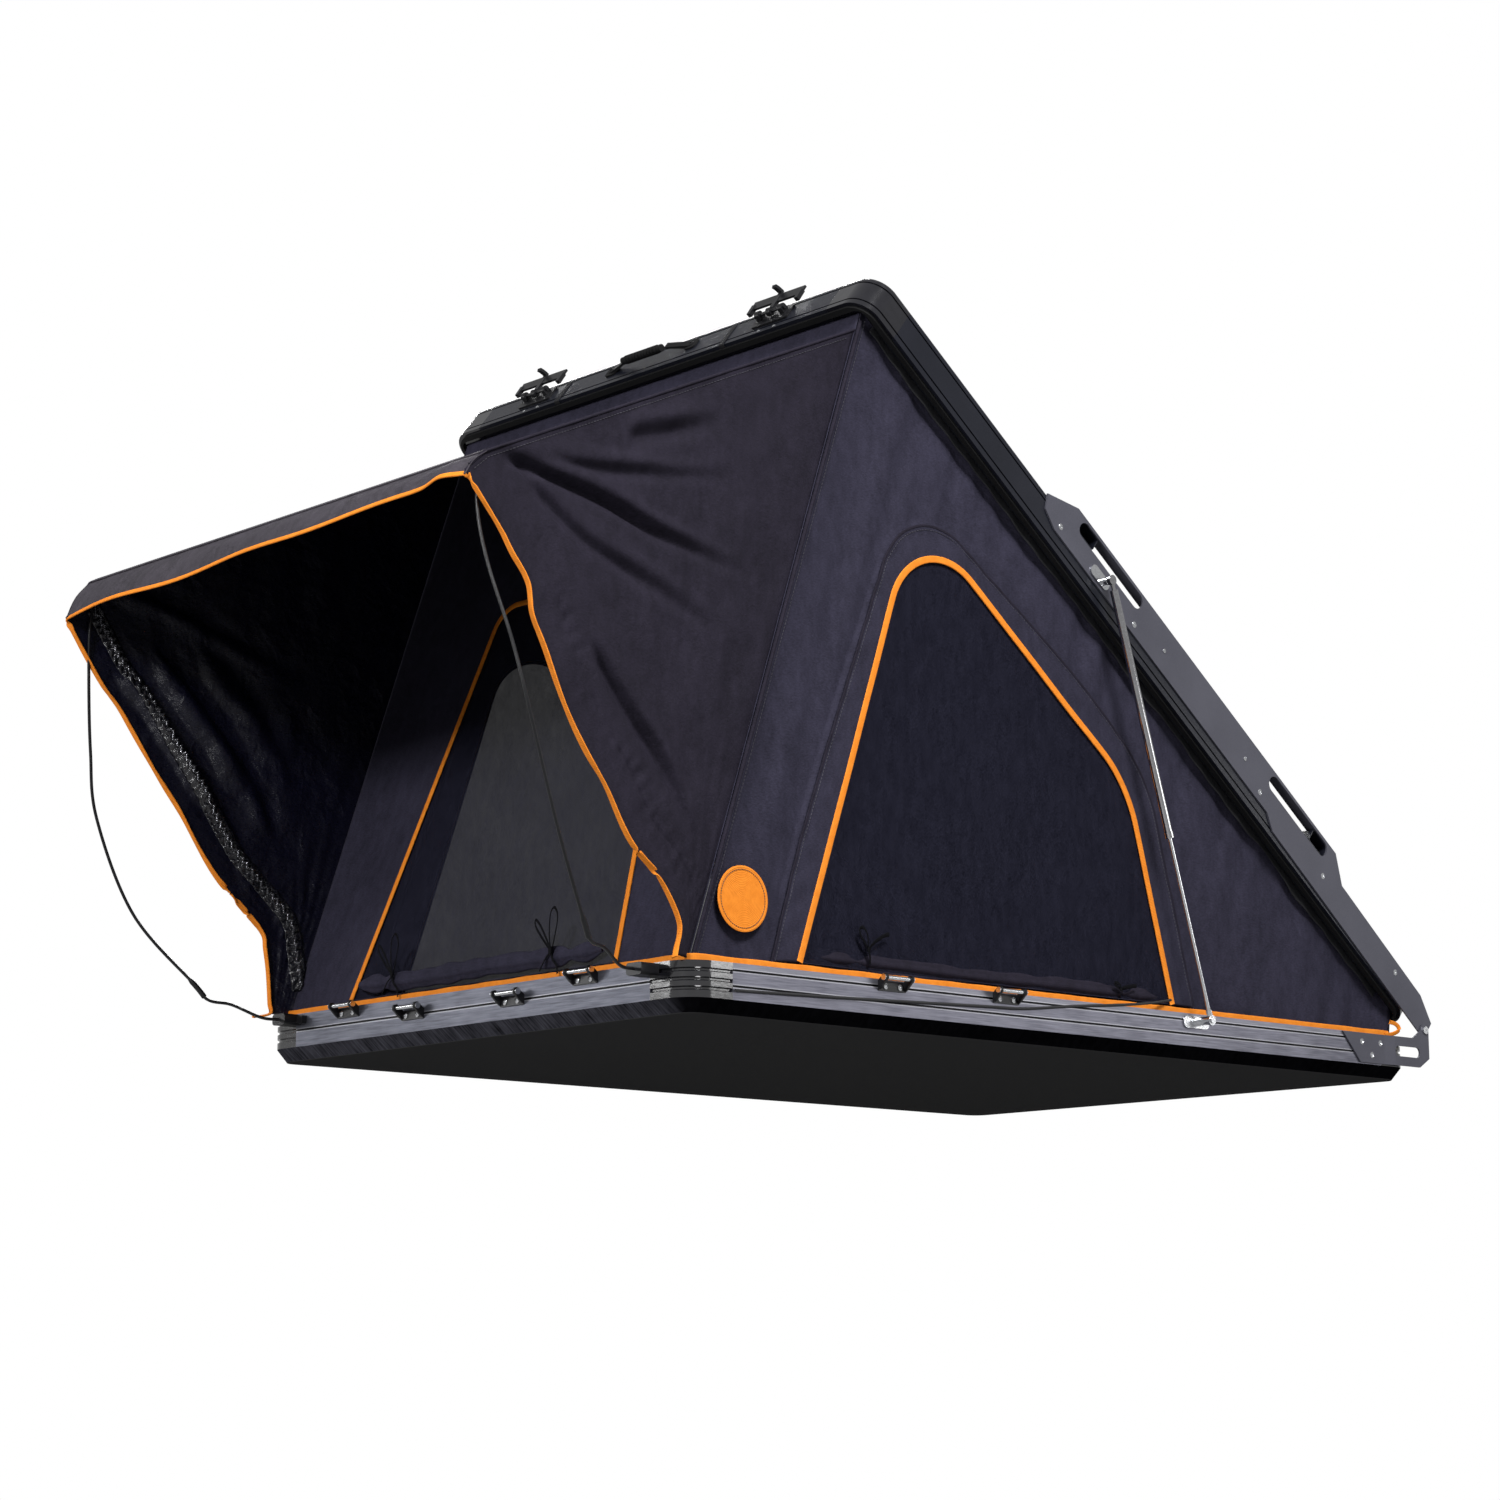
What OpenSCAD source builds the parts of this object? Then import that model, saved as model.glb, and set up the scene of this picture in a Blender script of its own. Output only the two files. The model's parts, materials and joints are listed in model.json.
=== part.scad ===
// Hard-shell roof top tent, shown open: a base tray and a wedge-opening lid of hollow rails,
// two gas struts, fabric walls with mesh windows, and a front awning held out by two spring rods.
// Frame: X runs along the shells with the hinge at +X, Y across, Z up, origin under the base.

/* [Shells] */
// Length of both shells, front to rear
shell_length = 2224; // [2100:2:2400]
// Width of both shells
shell_width = 1400; // [1300:2:1500]
// Outer radius of the shell corners in plan
corner_radius = 60; // [50:1:75]
// Reach of each leg of a corner piece, from the outer corner
corner_leg = 112; // [100:1:140]
// Depth of the rails, outside face to inside face
rail_depth = 30; // [26:1:34]
// Wall of the hollow rails
rail_wall = 2; // [2:0.5:4]
// Depth of the shadow grooves in rails and corner pieces
groove_depth = 3; // [2:0.5:4]
// Opening of the shadow grooves
groove_width = 4; // [3:0.5:5]

/* [Base] */
// Height of the black tray under the rails
pan_height = 28; // [22:1:36]
// Slope of the tray's lower edge, measured inwards
pan_chamfer = 22; // [10:1:30]
// Sheet of the tray
pan_sheet = 2; // [1.5:0.5:4]
// Height of the base rails
base_rail_height = 71; // [64:1:80]
// Thickness of the floor board
floor_thickness = 12; // [9:1:24]
// Thickness of the mattress
mattress_thickness = 62; // [30:1:66]
// Space between the mattress and the fabric walls
mattress_margin = 14; // [10:1:30]

/* [Lid] */
// Height of the lid rails
lid_rail_height = 85; // [76:1:96]
// Rounding of the lid's top edge
lid_edge_radius = 9; // [6:1:14]
// Thickness of the roof panel
roof_thickness = 2; // [2:0.5:6]
// Depth of the roof panel's face below the lid's top edge
roof_sink = 4; // [2:1:10]
// Height of the rubber seal under the lid rails
seal_height = 6; // [4:0.5:9]
// Width of the rubber seal
seal_width = 13; // [8:1:16]
// Gap left between seal and base when the lid is shut
close_gap = 0.5; // [0.3:0.1:2]
// Opening angle of the lid as shown
lid_angle = 38; // [30:0.5:42]

/* [Hinge] */
// Distance of the hinge axis behind the shells
hinge_back = 46; // [40:1:60]
// Height of the hinge axis above the base
hinge_rise = 20; // [18:1:26]
// Radius of the hinge pin
hinge_pin_r = 5; // [4:0.5:6]
// Radial clearance of the pin in the lid plate
hinge_clearance = 0.06; // [0.04:0.01:0.1]
// Thickness of the side plates and hinge plates
plate_thickness = 4; // [3:0.5:5]
// Gap between plates that turn past each other
plate_gap = 0.5; // [0.3:0.1:1]
// Length of the hinge plate on the base rail
hinge_plate_length = 256; // [220:1:300]

/* [Side plates] */
// Reach of a side plate forward of the rear face
plate_reach = 1598; // [1400:1:1700]
// Height of a side plate's top edge above the lid
plate_rise = 45; // [40:1:60]
// Width of the flange folded inwards along the top edge
flange_width = 24; // [18:1:30]
// Distance of a side plate's rear ramp from the rear face
plate_tail_back = 371; // [340:1:400]
// Distance of the step in a side plate's lower edge from the rear face
plate_step_back = 664; // [620:1:700]
// Length of the ramps at the ends of a side plate's top edge
plate_ramp = 87; // [60:1:100]
// Length of the tie slots
slot_length = 244; // [180:1:280]
// Height of the tie slots
slot_height = 37; // [24:1:38]
// Width of a roof bar along the tent
bar_width = 62; // [40:1:80]
// Height of a roof bar
bar_height = 36; // [18:1:38]
// Wall of a roof bar
bar_wall = 2.5; // [2:0.5:4]

/* [Gas struts] */
// Distance of the strut plane outside the shells
strut_offset = 30; // [28:1:40]
// Position of the lower strut pivot behind the middle
strut_lower_x = 365; // [330:1:420]
// Depth of the lower strut pivot below the base's top
strut_lower_drop = 15; // [14:1:24]
// Position of the upper strut pivot ahead of the middle, lid shut
strut_upper_x = 249; // [220:1:300]
// Height of the upper strut pivot above the lid rail's lower edge
strut_upper_rise = 54; // [48:1:64]
// Radius of the strut cylinder
cylinder_r = 9; // [8:0.5:12]
// Length of the strut cylinder, to its upper eye
cylinder_length = 566; // [540:1:590]
// Radius of the strut rod
rod_r = 4.2; // [3:0.1:6]
// Radius of the strut eyes
eye_r = 11; // [9:0.5:14]
// Radius of the strut studs
stud_r = 4; // [3:0.5:5]

/* [Latches] */
// Distance of each latch from the shell's side
latch_inset = 300; // [250:1:360]
// Length of the latch lever along the lid
lever_length = 158; // [140:1:180]
// Reach of the lever's plate from its pivot
lever_reach = 54; // [46:1:55]
// Height of the latch pivot above the lid rail's lower edge
latch_rise = 46; // [40:1:60]
// Radius of the latch pivot shaft
latch_pin_r = 4; // [3:0.5:5]
// Turn of the lever from open to locked
latch_turn = 155; // [120:1:158]

/* [Tie bars] */
// Distance of the inner front tie bars from the middle
inner_tie_y = 166; // [120:1:220]
// Positions of the side tie bars ahead of the middle
side_tie_x = [576, 248];
// Length of a tie bar between its ears
tie_bar_length = 66; // [50:1:80]
// Radius of a tie bar
tie_bar_r = 4.5; // [3:0.5:6]
// Standoff of a tie bar from the rail
tie_standoff = 19; // [17:1:24]

/* [Awning] */
// Reach of the awning's ridge ahead of the shells
awning_reach = 488; // [400:1:560]
// Height of the awning's ridge above the base
awning_height = 898; // [780:1:960]
// Drop of the front valance
valance_drop = 72; // [50:1:90]
// Forward lean of the front valance
valance_lean = 57; // [30:1:80]
// Sag of the awning's middle
awning_sag = 26; // [10:1:40]
// Depth of the folds in the side gussets
gusset_fold = 13; // [4:1:18]
// Radius of an awning spring rod
spring_rod_r = 3.5; // [2.5:0.5:5]
// Distance of each rod socket from the shell's side
socket_inset = 108; // [80:1:140]
// Radius of the guy cord along the right rail
cord_r = 3; // [2:0.5:4]

/* [Fabric] */
// Thickness of the fabric walls as solids
cloth = 3; // [2:0.5:5]
// Gap between neighbouring fabric panels
cloth_gap = 0.5; // [0.3:0.1:1]
// Clearance of the fabric walls inside the rails
wall_inset = 0.3; // [0.2:0.1:6]

/* [Hidden] */
$fn = 48;

// Half sizes and levels
half_length = shell_length / 2;
half_width = shell_width / 2;
base_top = pan_height + base_rail_height;
lid_bottom = base_top + close_gap + seal_height;
lid_top = lid_bottom + lid_rail_height;
floor_top = pan_sheet + floor_thickness;
straight_x = half_length - corner_leg;
straight_y = half_width - corner_leg;
inner_radius = corner_radius - rail_depth;
panel_clearance = 0.3;
panel_corner_r = 3;
side_grooves = [0.37 * base_rail_height, 0.8 * base_rail_height];
front_grooves = [0.5 * base_rail_height];
corner_grooves = [for (i = [1:3]) i * base_rail_height / 4];
rib_gap = 8;
rib_depth = 4;
lid_grooves = [0.16 * lid_rail_height, 0.8 * lid_rail_height];

// Hinge axis and the lid's opening
hinge_x = half_length + hinge_back;
hinge_z = base_top + hinge_rise;
hinge_ear_r = 14;
function opened_point(x, z) = [
  hinge_x + cos(lid_angle) * (x - hinge_x) + sin(lid_angle) * (z - hinge_z),
  hinge_z - sin(lid_angle) * (x - hinge_x) + cos(lid_angle) * (z - hinge_z)];

// Side plate outline stations, from the rear face forwards
plate_front_x = half_length - plate_reach;
plate_top = lid_top + plate_rise;
plate_tail_x = half_length - plate_tail_back;
plate_step_x = half_length - plate_step_back;
plate_low_front = lid_bottom + 34;
plate_low_rear = lid_bottom + 12;
plate_shoulder = lid_top - 10;
slot_margin = 26;
clear_rise = plate_rise - plate_thickness - 4;
slot_open = min(slot_height, clear_rise);
bar_tall = min(bar_height, clear_rise);
slot_z = plate_top - plate_thickness - slot_open / 2 - 3;
slot_front_x = plate_front_x + plate_ramp + slot_margin + slot_length / 2;
slot_rear_x = plate_tail_x - 60 - slot_margin - slot_length / 2;
bar_front_x = slot_front_x - slot_length / 2 + bar_width / 2;
bar_rear_x = slot_rear_x + slot_length / 2 - bar_width / 2;
flange_z = plate_top - plate_thickness;

// Strut pivots and lengths
strut_y = half_width + strut_offset;
strut_lower = [strut_lower_x, base_top - strut_lower_drop];
strut_upper_shut = [-strut_upper_x, lid_bottom + strut_upper_rise];
strut_upper = opened_point(strut_upper_shut[0], strut_upper_shut[1]);
strut_vector = strut_upper - strut_lower;
strut_length = norm(strut_vector);
strut_lean = atan2(strut_vector[0], strut_vector[1]);
eye_thickness = 9;
eye_gap = 0.4;
rod_clearance = 0.05;
rod_tail = 40;
upper_foot_length = 66;
upper_foot_shift = 14;
upper_foot_front_x = strut_upper_shut[0] - upper_foot_shift - upper_foot_length / 2;

// Screws
screw_r = 7;
screw_height = 3;

// Latches and tie brackets
lever_thickness = 5;
lever_width = 26;
latch_standoff = 15;
latch_x = -half_length - latch_standoff;
latch_y = half_width - latch_inset;
latch_z = lid_bottom + latch_rise;
hook_width = 12;
hook_inner_r = latch_z - (base_top + 2) + tie_bar_r + 1;
hook_thickness = 7;
ear_thickness = 5;
foot_thickness = 3;
front_tie_y = latch_y - 5;
high_tie_z = base_top - 4;
low_tie_z = base_top - 27;

// Fabric stations in the side view
wall_y = half_width - rail_depth - wall_inset;
wall_foot = [-(half_length - rail_depth - wall_inset), base_top - 19];
wall_head = opened_point(-(half_length - rail_depth - wall_inset), lid_bottom + 12);
wall_slope = (wall_head - wall_foot) / norm(wall_head - wall_foot);
wall_height = norm(wall_head - wall_foot);
wall_lean = atan2(wall_slope[0], wall_slope[1]);
rear_head = opened_point(half_length - rail_depth - 12, lid_bottom + 12);
rear_foot = [half_length - rail_depth - wall_inset - 3, base_top - 19];
rear_slope = rear_head - rear_foot;
rear_lean = atan2(rear_slope[0], rear_slope[1]);
function on_front_wall(z) = wall_foot + wall_slope * (z - wall_foot[1]) / wall_slope[1];
door_foot_z = base_top + 20;
door_head_z = base_top + 0.6475 * (wall_head[1] - base_top);
door_foot_half = 0.6286 * half_width;
door_head_half = 0.4457 * half_width;
door_corner_r = 0.0857 * half_width;
window_r = 0.135 * half_length;
// A station of the window: shares of half the shell's length and of the wall's height
function on_window(along, up) = [along * half_length, base_top + up * (wall_head[1] - base_top)];

// Awning stations in the side view: root at the front wall, ridge, then the valance hem
awning_root = on_front_wall(wall_head[1] - 50) + [-cloth / 2, 0];
awning_ridge = [-half_length - awning_reach, base_top + awning_height];
awning_hem = awning_ridge + [-valance_lean, -valance_drop];
awning_half_root = wall_y - 8;
awning_half_front = half_width - 6;
gusset_foot = [-half_length - 12, base_top + 4];
gusset_heel = on_front_wall(base_top + 6) + [-cloth / 2, 0];
// A station on the free edge: shares of the way from its foot to the hem in X and Z
function on_edge(along, up) = [
  gusset_foot[0] + along * (awning_hem[0] - gusset_foot[0]), gusset_foot[1] + up * (awning_hem[1] - gusset_foot[1])];
gusset_edge = [awning_hem, on_edge(0.705, 0.769), on_edge(0.387, 0.44), on_edge(0.068, 0.193), gusset_foot];

// Spring rod route on the left side, from the awning corner to the tip in its socket
socket_depth = 44;
socket_width = 46;
socket_height = 24;
socket_y = half_width - socket_inset;
rod_tip = [-half_length - socket_depth - eye_gap, socket_y, base_top - 14];
rod_head = [awning_ridge[0] + 6, awning_half_front - 30, awning_ridge[1] - cloth - 1];
// A station on the rod: shares of the way from tip to head in X and Z, and distance outside the shell
function on_rod(along, up, out) = [
  rod_tip[0] + along * (rod_head[0] - rod_tip[0]), half_width + out, rod_tip[2] + up * (rod_head[2] - rod_tip[2])];
rod_route = [rod_head, on_rod(1.027, 0.898, -28), on_rod(1, 0.776, -10), on_rod(0.927, 0.611, 26),
  on_rod(0.854, 0.457, 44), on_rod(0.662, 0.237, 22), on_rod(0.397, 0.074, -45), on_rod(0.333, 0.0385, -58),
  on_rod(0.225, 0.03, -75), on_rod(0.09, 0.002, 8 - socket_inset), rod_tip];
ferrule_r = 6;

// Guy cord route on the right side: along the rail's face, then over the base to the window
cord_face = half_width + cord_r + cloth_gap;
cord_end = wall_y + cord_r + cloth_gap;
// A station on the cord: share of half the shell's length, distance out, height above the base
function on_cord(along, out, up) = [along * half_length, out, base_top + up];
cord_route = [on_cord(-0.897, cord_face, -53), on_cord(-0.648, cord_face, -46), on_cord(-0.288, cord_face, -33),
  on_cord(-0.18, cord_face, -29), on_cord(-0.044, cord_face, -13), on_cord(0.117, cord_face, 4),
  on_cord(0.207, cord_face - 14, 17), on_cord(0.27, cord_end, 29)];

// Shared shapes

module for_side(side) {
  if (side > 0) children();
  else mirror([0, 1, 0]) children();
}

module for_end(end) {
  if (end > 0) children();
  else mirror([1, 0, 0]) children();
}

// Turns lid geometry, drawn shut, to the opening shown
module opened() {
  translate([hinge_x, 0, hinge_z])
    rotate([0, lid_angle, 0])
      translate([-hinge_x, 0, -hinge_z]) children();
}

// Draws a profile of (across, up) along X from x0 to x1
module along_x(x0, x1) {
  translate([x0, 0, 0]) rotate([90, 0, 90]) linear_extrude(x1 - x0) children();
}

// Draws a profile of (along, up) as a plate between y0 and y1
module across_y(y0, y1) {
  translate([0, y1, 0]) rotate([90, 0, 0]) linear_extrude(y1 - y0) children();
}

module grooves(levels) {
  for (v = levels)
    translate([-groove_depth, v - groove_width / 2]) square([groove_depth + 1, groove_width]);
}

// Hollow base rail: outside face at 0, depth inwards
module base_profile(levels) {
  difference() {
    translate([-rail_depth, 0]) square([rail_depth, base_rail_height]);
    grooves(levels);
    translate([rail_wall - rail_depth, rail_wall])
      square([rail_depth - 2 * rail_wall - groove_depth, base_rail_height - 2 * rail_wall]);
  }
}

// Lid rail with a rounded top edge
module lid_outline() {
  translate([-rail_depth, 0]) square([rail_depth, lid_rail_height - lid_edge_radius]);
  translate([-rail_depth, 0]) square([rail_depth - lid_edge_radius, lid_rail_height]);
  translate([-lid_edge_radius, lid_rail_height - lid_edge_radius]) circle(lid_edge_radius);
}

// The lid rails are channels, open inwards, so that packed fabric can tuck into them
module lid_profile() {
  difference() {
    lid_outline();
    grooves(lid_grooves);
    translate([-rail_depth - 1, rail_wall])
      square([rail_depth + 1 - rail_wall - groove_depth, lid_rail_height - lid_edge_radius - rail_wall]);
  }
}

// Flared gaps between the ribs of a moulded corner
module rib_gaps(levels) {
  for (v = levels)
    polygon([
      [1, v - rib_gap / 2], [0, v - rib_gap / 2], [-rib_depth, v - rib_gap / 5],
      [-rib_depth, v + rib_gap / 5], [0, v + rib_gap / 2], [1, v + rib_gap / 2]]);
}

module solid_base_profile() {
  difference() {
    translate([-rail_depth, 0]) square([rail_depth, base_rail_height]);
    rib_gaps(corner_grooves);
  }
}

module solid_lid_profile() {
  difference() {
    lid_outline();
    grooves(lid_grooves);
  }
}

// Corner piece in the +X +Y quadrant: a quarter turn of the profile with two straight legs,
// cut square inside so that the fabric walls meet in it
module corner_piece(height) {
  leg = corner_leg - corner_radius;
  difference() {
    translate([half_length - corner_radius, half_width - corner_radius, 0]) {
      rotate_extrude(angle = 90) translate([corner_radius, 0]) children();
      translate([-leg, corner_radius, 0]) rotate([90, 0, 90]) linear_extrude(leg) children();
      translate([corner_radius, 0, 0]) rotate([90, 0, 0]) linear_extrude(leg) children();
    }
    translate([half_length - rail_depth - corner_leg, half_width - rail_depth - corner_leg, -1])
      cube([corner_leg, corner_leg, height + 2]);
  }
}

module rail_along_side(x_reach) {
  translate([0, half_width, 0]) along_x(-x_reach, x_reach) children();
}

module rail_along_end(y_reach) {
  translate([half_length, 0, 0]) across_y(-y_reach, y_reach) children();
}

// Rounded rectangle block, centred in X and Y
module rounded_plate(length, width, height, radius) {
  linear_extrude(height) {
    square([length - 2 * radius, width], center = true);
    square([length, width - 2 * radius], center = true);
    for (sx = [-1, 1], sy = [-1, 1])
      translate([sx * (length / 2 - radius), sy * (width / 2 - radius)]) circle(radius);
  }
}

// Dome head screw with a hexagon recess, standing on the plane z = 0
module dome_screw(radius, height) {
  difference() {
    rotate_extrude()
      intersection() {
        square([radius, height]);
        translate([0, height - 1.6 * radius]) circle(1.6 * radius);
      }
    translate([0, 0, height * 0.45]) cylinder(r = radius * 0.42, h = height, $fn = 6);
  }
}

// Outline with its corners rounded: each entry is [x, y, radius]
function rounded_outline(pts, steps = 8) = [
  for (i = [0:len(pts) - 1])
    let (
      p = [pts[i][0], pts[i][1]],
      a = [pts[(i + len(pts) - 1) % len(pts)][0], pts[(i + len(pts) - 1) % len(pts)][1]],
      b = [pts[(i + 1) % len(pts)][0], pts[(i + 1) % len(pts)][1]],
      da = (a - p) / norm(a - p),
      db = (b - p) / norm(b - p),
      half = acos(da * db) / 2,
      r = pts[i][2],
      centre = p + (da + db) / norm(da + db) * r / sin(half),
      from = p + da * r / tan(half) - centre,
      to = p + db * r / tan(half) - centre,
      start = atan2(from[1], from[0]),
      turn = (atan2(to[1], to[0]) - start + 540) % 360 - 180)
    each r == 0 ? [p] :
      [for (k = [0:steps]) centre + r * [cos(start + turn * k / steps), sin(start + turn * k / steps)]]];

// Smooth curve through hand-chosen points, with the given steps in each span
function curve_point(p, i, t) =
  let (
    n = len(p) - 1,
    a = p[max(i - 1, 0)],
    b = p[i],
    c = p[min(i + 1, n)],
    d = p[min(i + 2, n)])
  0.5 * (2 * b + (c - a) * t + (2 * a - 5 * b + 4 * c - d) * t * t + (3 * b - a - 3 * c + d) * t * t * t);
function smooth_curve(p, steps) = [
  for (i = [0:len(p) - 2], k = [0:steps - 1]) curve_point(p, i, k / steps),
  p[len(p) - 1]];
function curve_at(p, t) =
  let (s = min(t, 0.9999) * (len(p) - 1))
  curve_point(p, floor(s), s - floor(s));

// Closed cloth solid between two grids of points of equal size, upper and lower face
module cloth_solid(upper, lower) {
  rows = len(upper);
  cols = len(upper[0]);
  count = rows * cols;
  function at(i, j) = i * cols + j;
  points = [for (r = upper) each r, for (r = lower) each r];
  faces = [
    for (i = [0:rows - 2], j = [0:cols - 2]) each [
      [at(i, j), at(i, j + 1), at(i + 1, j + 1)],
      [at(i, j), at(i + 1, j + 1), at(i + 1, j)],
      [count + at(i, j), count + at(i + 1, j + 1), count + at(i, j + 1)],
      [count + at(i, j), count + at(i + 1, j), count + at(i + 1, j + 1)]],
    for (i = [0:rows - 2]) each [
      [at(i, 0), at(i + 1, 0), count + at(i + 1, 0)],
      [at(i, 0), count + at(i + 1, 0), count + at(i, 0)],
      [at(i, cols - 1), count + at(i + 1, cols - 1), at(i + 1, cols - 1)],
      [at(i, cols - 1), count + at(i, cols - 1), count + at(i + 1, cols - 1)]],
    for (j = [0:cols - 2]) each [
      [at(0, j), count + at(0, j + 1), at(0, j + 1)],
      [at(0, j), count + at(0, j), count + at(0, j + 1)],
      [at(rows - 1, j), at(rows - 1, j + 1), count + at(rows - 1, j + 1)],
      [at(rows - 1, j), count + at(rows - 1, j + 1), count + at(rows - 1, j)]]];
  polyhedron(points, faces);
}

// Tube swept along a route that never runs along Y, with a radius for each of its points
module swept_tube(route, radii, sides) {
  last = len(route) - 1;
  rings = [for (i = [0:last])
    let (
      t = route[min(i + 1, last)] - route[max(i - 1, 0)],
      u = cross(t, [0, 1, 0]) / norm(cross(t, [0, 1, 0])),
      v = cross(u, t) / norm(cross(u, t)))
    [for (k = [0:sides - 1]) route[i] + radii[i] * (cos(360 * k / sides) * u + sin(360 * k / sides) * v)]];
  points = [for (r = rings) each r, route[0], route[last]];
  ends = len(rings) * sides;
  function at(i, k) = i * sides + k % sides;
  faces = [
    for (i = [0:last - 1], k = [0:sides - 1]) each [
      [at(i, k), at(i, k + 1), at(i + 1, k + 1)],
      [at(i, k), at(i + 1, k + 1), at(i + 1, k)]],
    for (k = [0:sides - 1]) each [
      [at(0, k + 1), at(0, k), ends],
      [at(last, k), at(last, k + 1), ends + 1]]];
  polyhedron(points, faces);
}

// Base

// Black tray: sheet with sloped lower edges and cone corners, open upwards for the floor board
module pan_form(inset, z0, height) {
  hx = half_length - inset;
  hy = half_width - inset;
  r = corner_radius - inset;
  translate([0, 0, z0]) {
    along_x(-(hx - r), hx - r)
      polygon([[-(hy - pan_chamfer), 0], [hy - pan_chamfer, 0], [hy, height], [-hy, height]]);
    across_y(-(hy - r), hy - r)
      polygon([[-(hx - pan_chamfer), 0], [hx - pan_chamfer, 0], [hx, height], [-hx, height]]);
    for (sx = [-1, 1], sy = [-1, 1])
      translate([sx * (hx - r), sy * (hy - r), 0]) cylinder(r1 = r - pan_chamfer, r2 = r, h = height);
  }
}

module base_pan() {
  color("#101012")
    difference() {
      pan_form(0, 0, pan_height);
      pan_form(pan_sheet, pan_sheet, pan_height);
    }
}

// Board that fills the tray and carries the mattress between the rails
module floor_board() {
  inset = pan_chamfer + corner_radius / 3;
  color("#3a3834")
    translate([0, 0, pan_sheet])
      rounded_plate(shell_length - 2 * inset, shell_width - 2 * inset, floor_top - pan_sheet, inner_radius);
}

// Foam mattress with a crowned top: the cover is drawn in towards its edges
module mattress() {
  half_x = half_length - rail_depth - mattress_margin - cloth;
  half_y = wall_y - mattress_margin;
  crown = 7;
  rows = 13;
  cols = 11;
  function edge(t) = 1 - pow(abs(t), 6);
  function steps(n) = [for (i = [0:n - 1]) 2 * i / (n - 1) - 1];
  function top(u, v) = [
    half_x * u * (0.995 + 0.005 * edge(v)), half_y * v * (0.993 + 0.007 * edge(u)),
    floor_top + mattress_thickness - crown + crown * edge(u) * edge(v)];
  function bottom(u, v) = [half_x * u, half_y * v, floor_top];
  color("#5a5a60")
    cloth_solid(
      [for (u = steps(rows)) [for (v = steps(cols)) top(u, -v)]],
      [for (u = steps(rows)) [for (v = steps(cols)) bottom(u, -v)]]);
}

module base_rail_end(end) {
  color("#4b4c52")
    translate([0, 0, pan_height]) for_end(end) rail_along_end(straight_y) base_profile(front_grooves);
}

module base_rail_side(side) {
  color("#4b4c52")
    translate([0, 0, pan_height]) for_side(side) rail_along_side(straight_x) base_profile(side_grooves);
}

module base_corner(end, side) {
  color("#17171a")
    translate([0, 0, pan_height]) for_end(end) for_side(side)
      corner_piece(base_rail_height) solid_base_profile();
}

module base_rail_front() { base_rail_end(-1); }
module base_rail_rear() { base_rail_end(1); }
module base_rail_left() { base_rail_side(1); }
module base_rail_right() { base_rail_side(-1); }
module base_corner_front_left() { base_corner(-1, 1); }
module base_corner_front_right() { base_corner(-1, -1); }
module base_corner_rear_left() { base_corner(1, 1); }
module base_corner_rear_right() { base_corner(1, -1); }

// Lid

module lid_rail_end(end) {
  color("#26272c")
    opened() translate([0, 0, lid_bottom]) for_end(end) rail_along_end(straight_y) lid_profile();
}

module lid_rail_side(side) {
  color("#26272c")
    opened() translate([0, 0, lid_bottom]) for_side(side) rail_along_side(straight_x) lid_profile();
}

module lid_corner(end, side) {
  color("#1c1d22")
    opened() translate([0, 0, lid_bottom]) for_end(end) for_side(side)
      corner_piece(lid_rail_height) solid_lid_profile();
}

module lid_rail_front() { lid_rail_end(-1); }
module lid_rail_rear() { lid_rail_end(1); }
module lid_rail_left() { lid_rail_side(1); }
module lid_rail_right() { lid_rail_side(-1); }
module lid_corner_front_left() { lid_corner(-1, 1); }
module lid_corner_front_right() { lid_corner(-1, -1); }
module lid_corner_rear_left() { lid_corner(1, 1); }
module lid_corner_rear_right() { lid_corner(1, -1); }

// Roof sheet let in between the lid rails
module roof_panel() {
  color("#222328")
    opened()
      translate([0, 0, lid_top - roof_sink - roof_thickness])
        rounded_plate(
          shell_length - 2 * (rail_depth + panel_clearance),
          shell_width - 2 * (rail_depth + panel_clearance),
          roof_thickness, panel_corner_r);
}

// Rubber strip under the rails, all the way round
module lid_seal() {
  inset = (rail_depth - seal_width) / 2;
  outer_r = corner_radius - inset;
  color("#0b0b0c")
    opened()
      translate([0, 0, lid_bottom - seal_height])
        difference() {
          rounded_plate(shell_length - 2 * inset, shell_width - 2 * inset, seal_height, outer_r);
          translate([0, 0, -1])
            rounded_plate(
              shell_length - 2 * (inset + seal_width), shell_width - 2 * (inset + seal_width),
              seal_height + 2, 0.75 * inner_radius);
        }
}

// Side plate: hinge arm and tie rail in one sheet, with a flange folded in along its top edge
module slot_outline(x) {
  reach = (slot_length - slot_open) / 2;
  translate([x, slot_z]) square([2 * reach, slot_open], center = true);
  for (s = [-1, 1])
    translate([x + s * reach, slot_z]) circle(slot_open / 2);
}

module side_plate_outline() {
  difference() {
    union() {
      polygon([
        [plate_front_x, lid_top - 2],
        [plate_front_x + plate_ramp, plate_top],
        [plate_tail_x - 60, plate_top],
        [plate_tail_x, lid_top - 1],
        [half_length - 8, plate_shoulder],
        [hinge_x + hinge_ear_r, hinge_z + 34],
        [hinge_x + hinge_ear_r, hinge_z],
        [hinge_x, hinge_z - hinge_ear_r],
        [plate_step_x + 40, plate_low_rear],
        [plate_step_x, plate_low_front],
        [plate_front_x + 62, plate_low_front],
        [plate_front_x + 16, plate_low_front + 16]]);
      translate([hinge_x, hinge_z]) circle(hinge_ear_r);
    }
    translate([hinge_x, hinge_z]) circle(hinge_pin_r + hinge_clearance);
    slot_outline(slot_front_x);
    slot_outline(slot_rear_x);
  }
}

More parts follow.
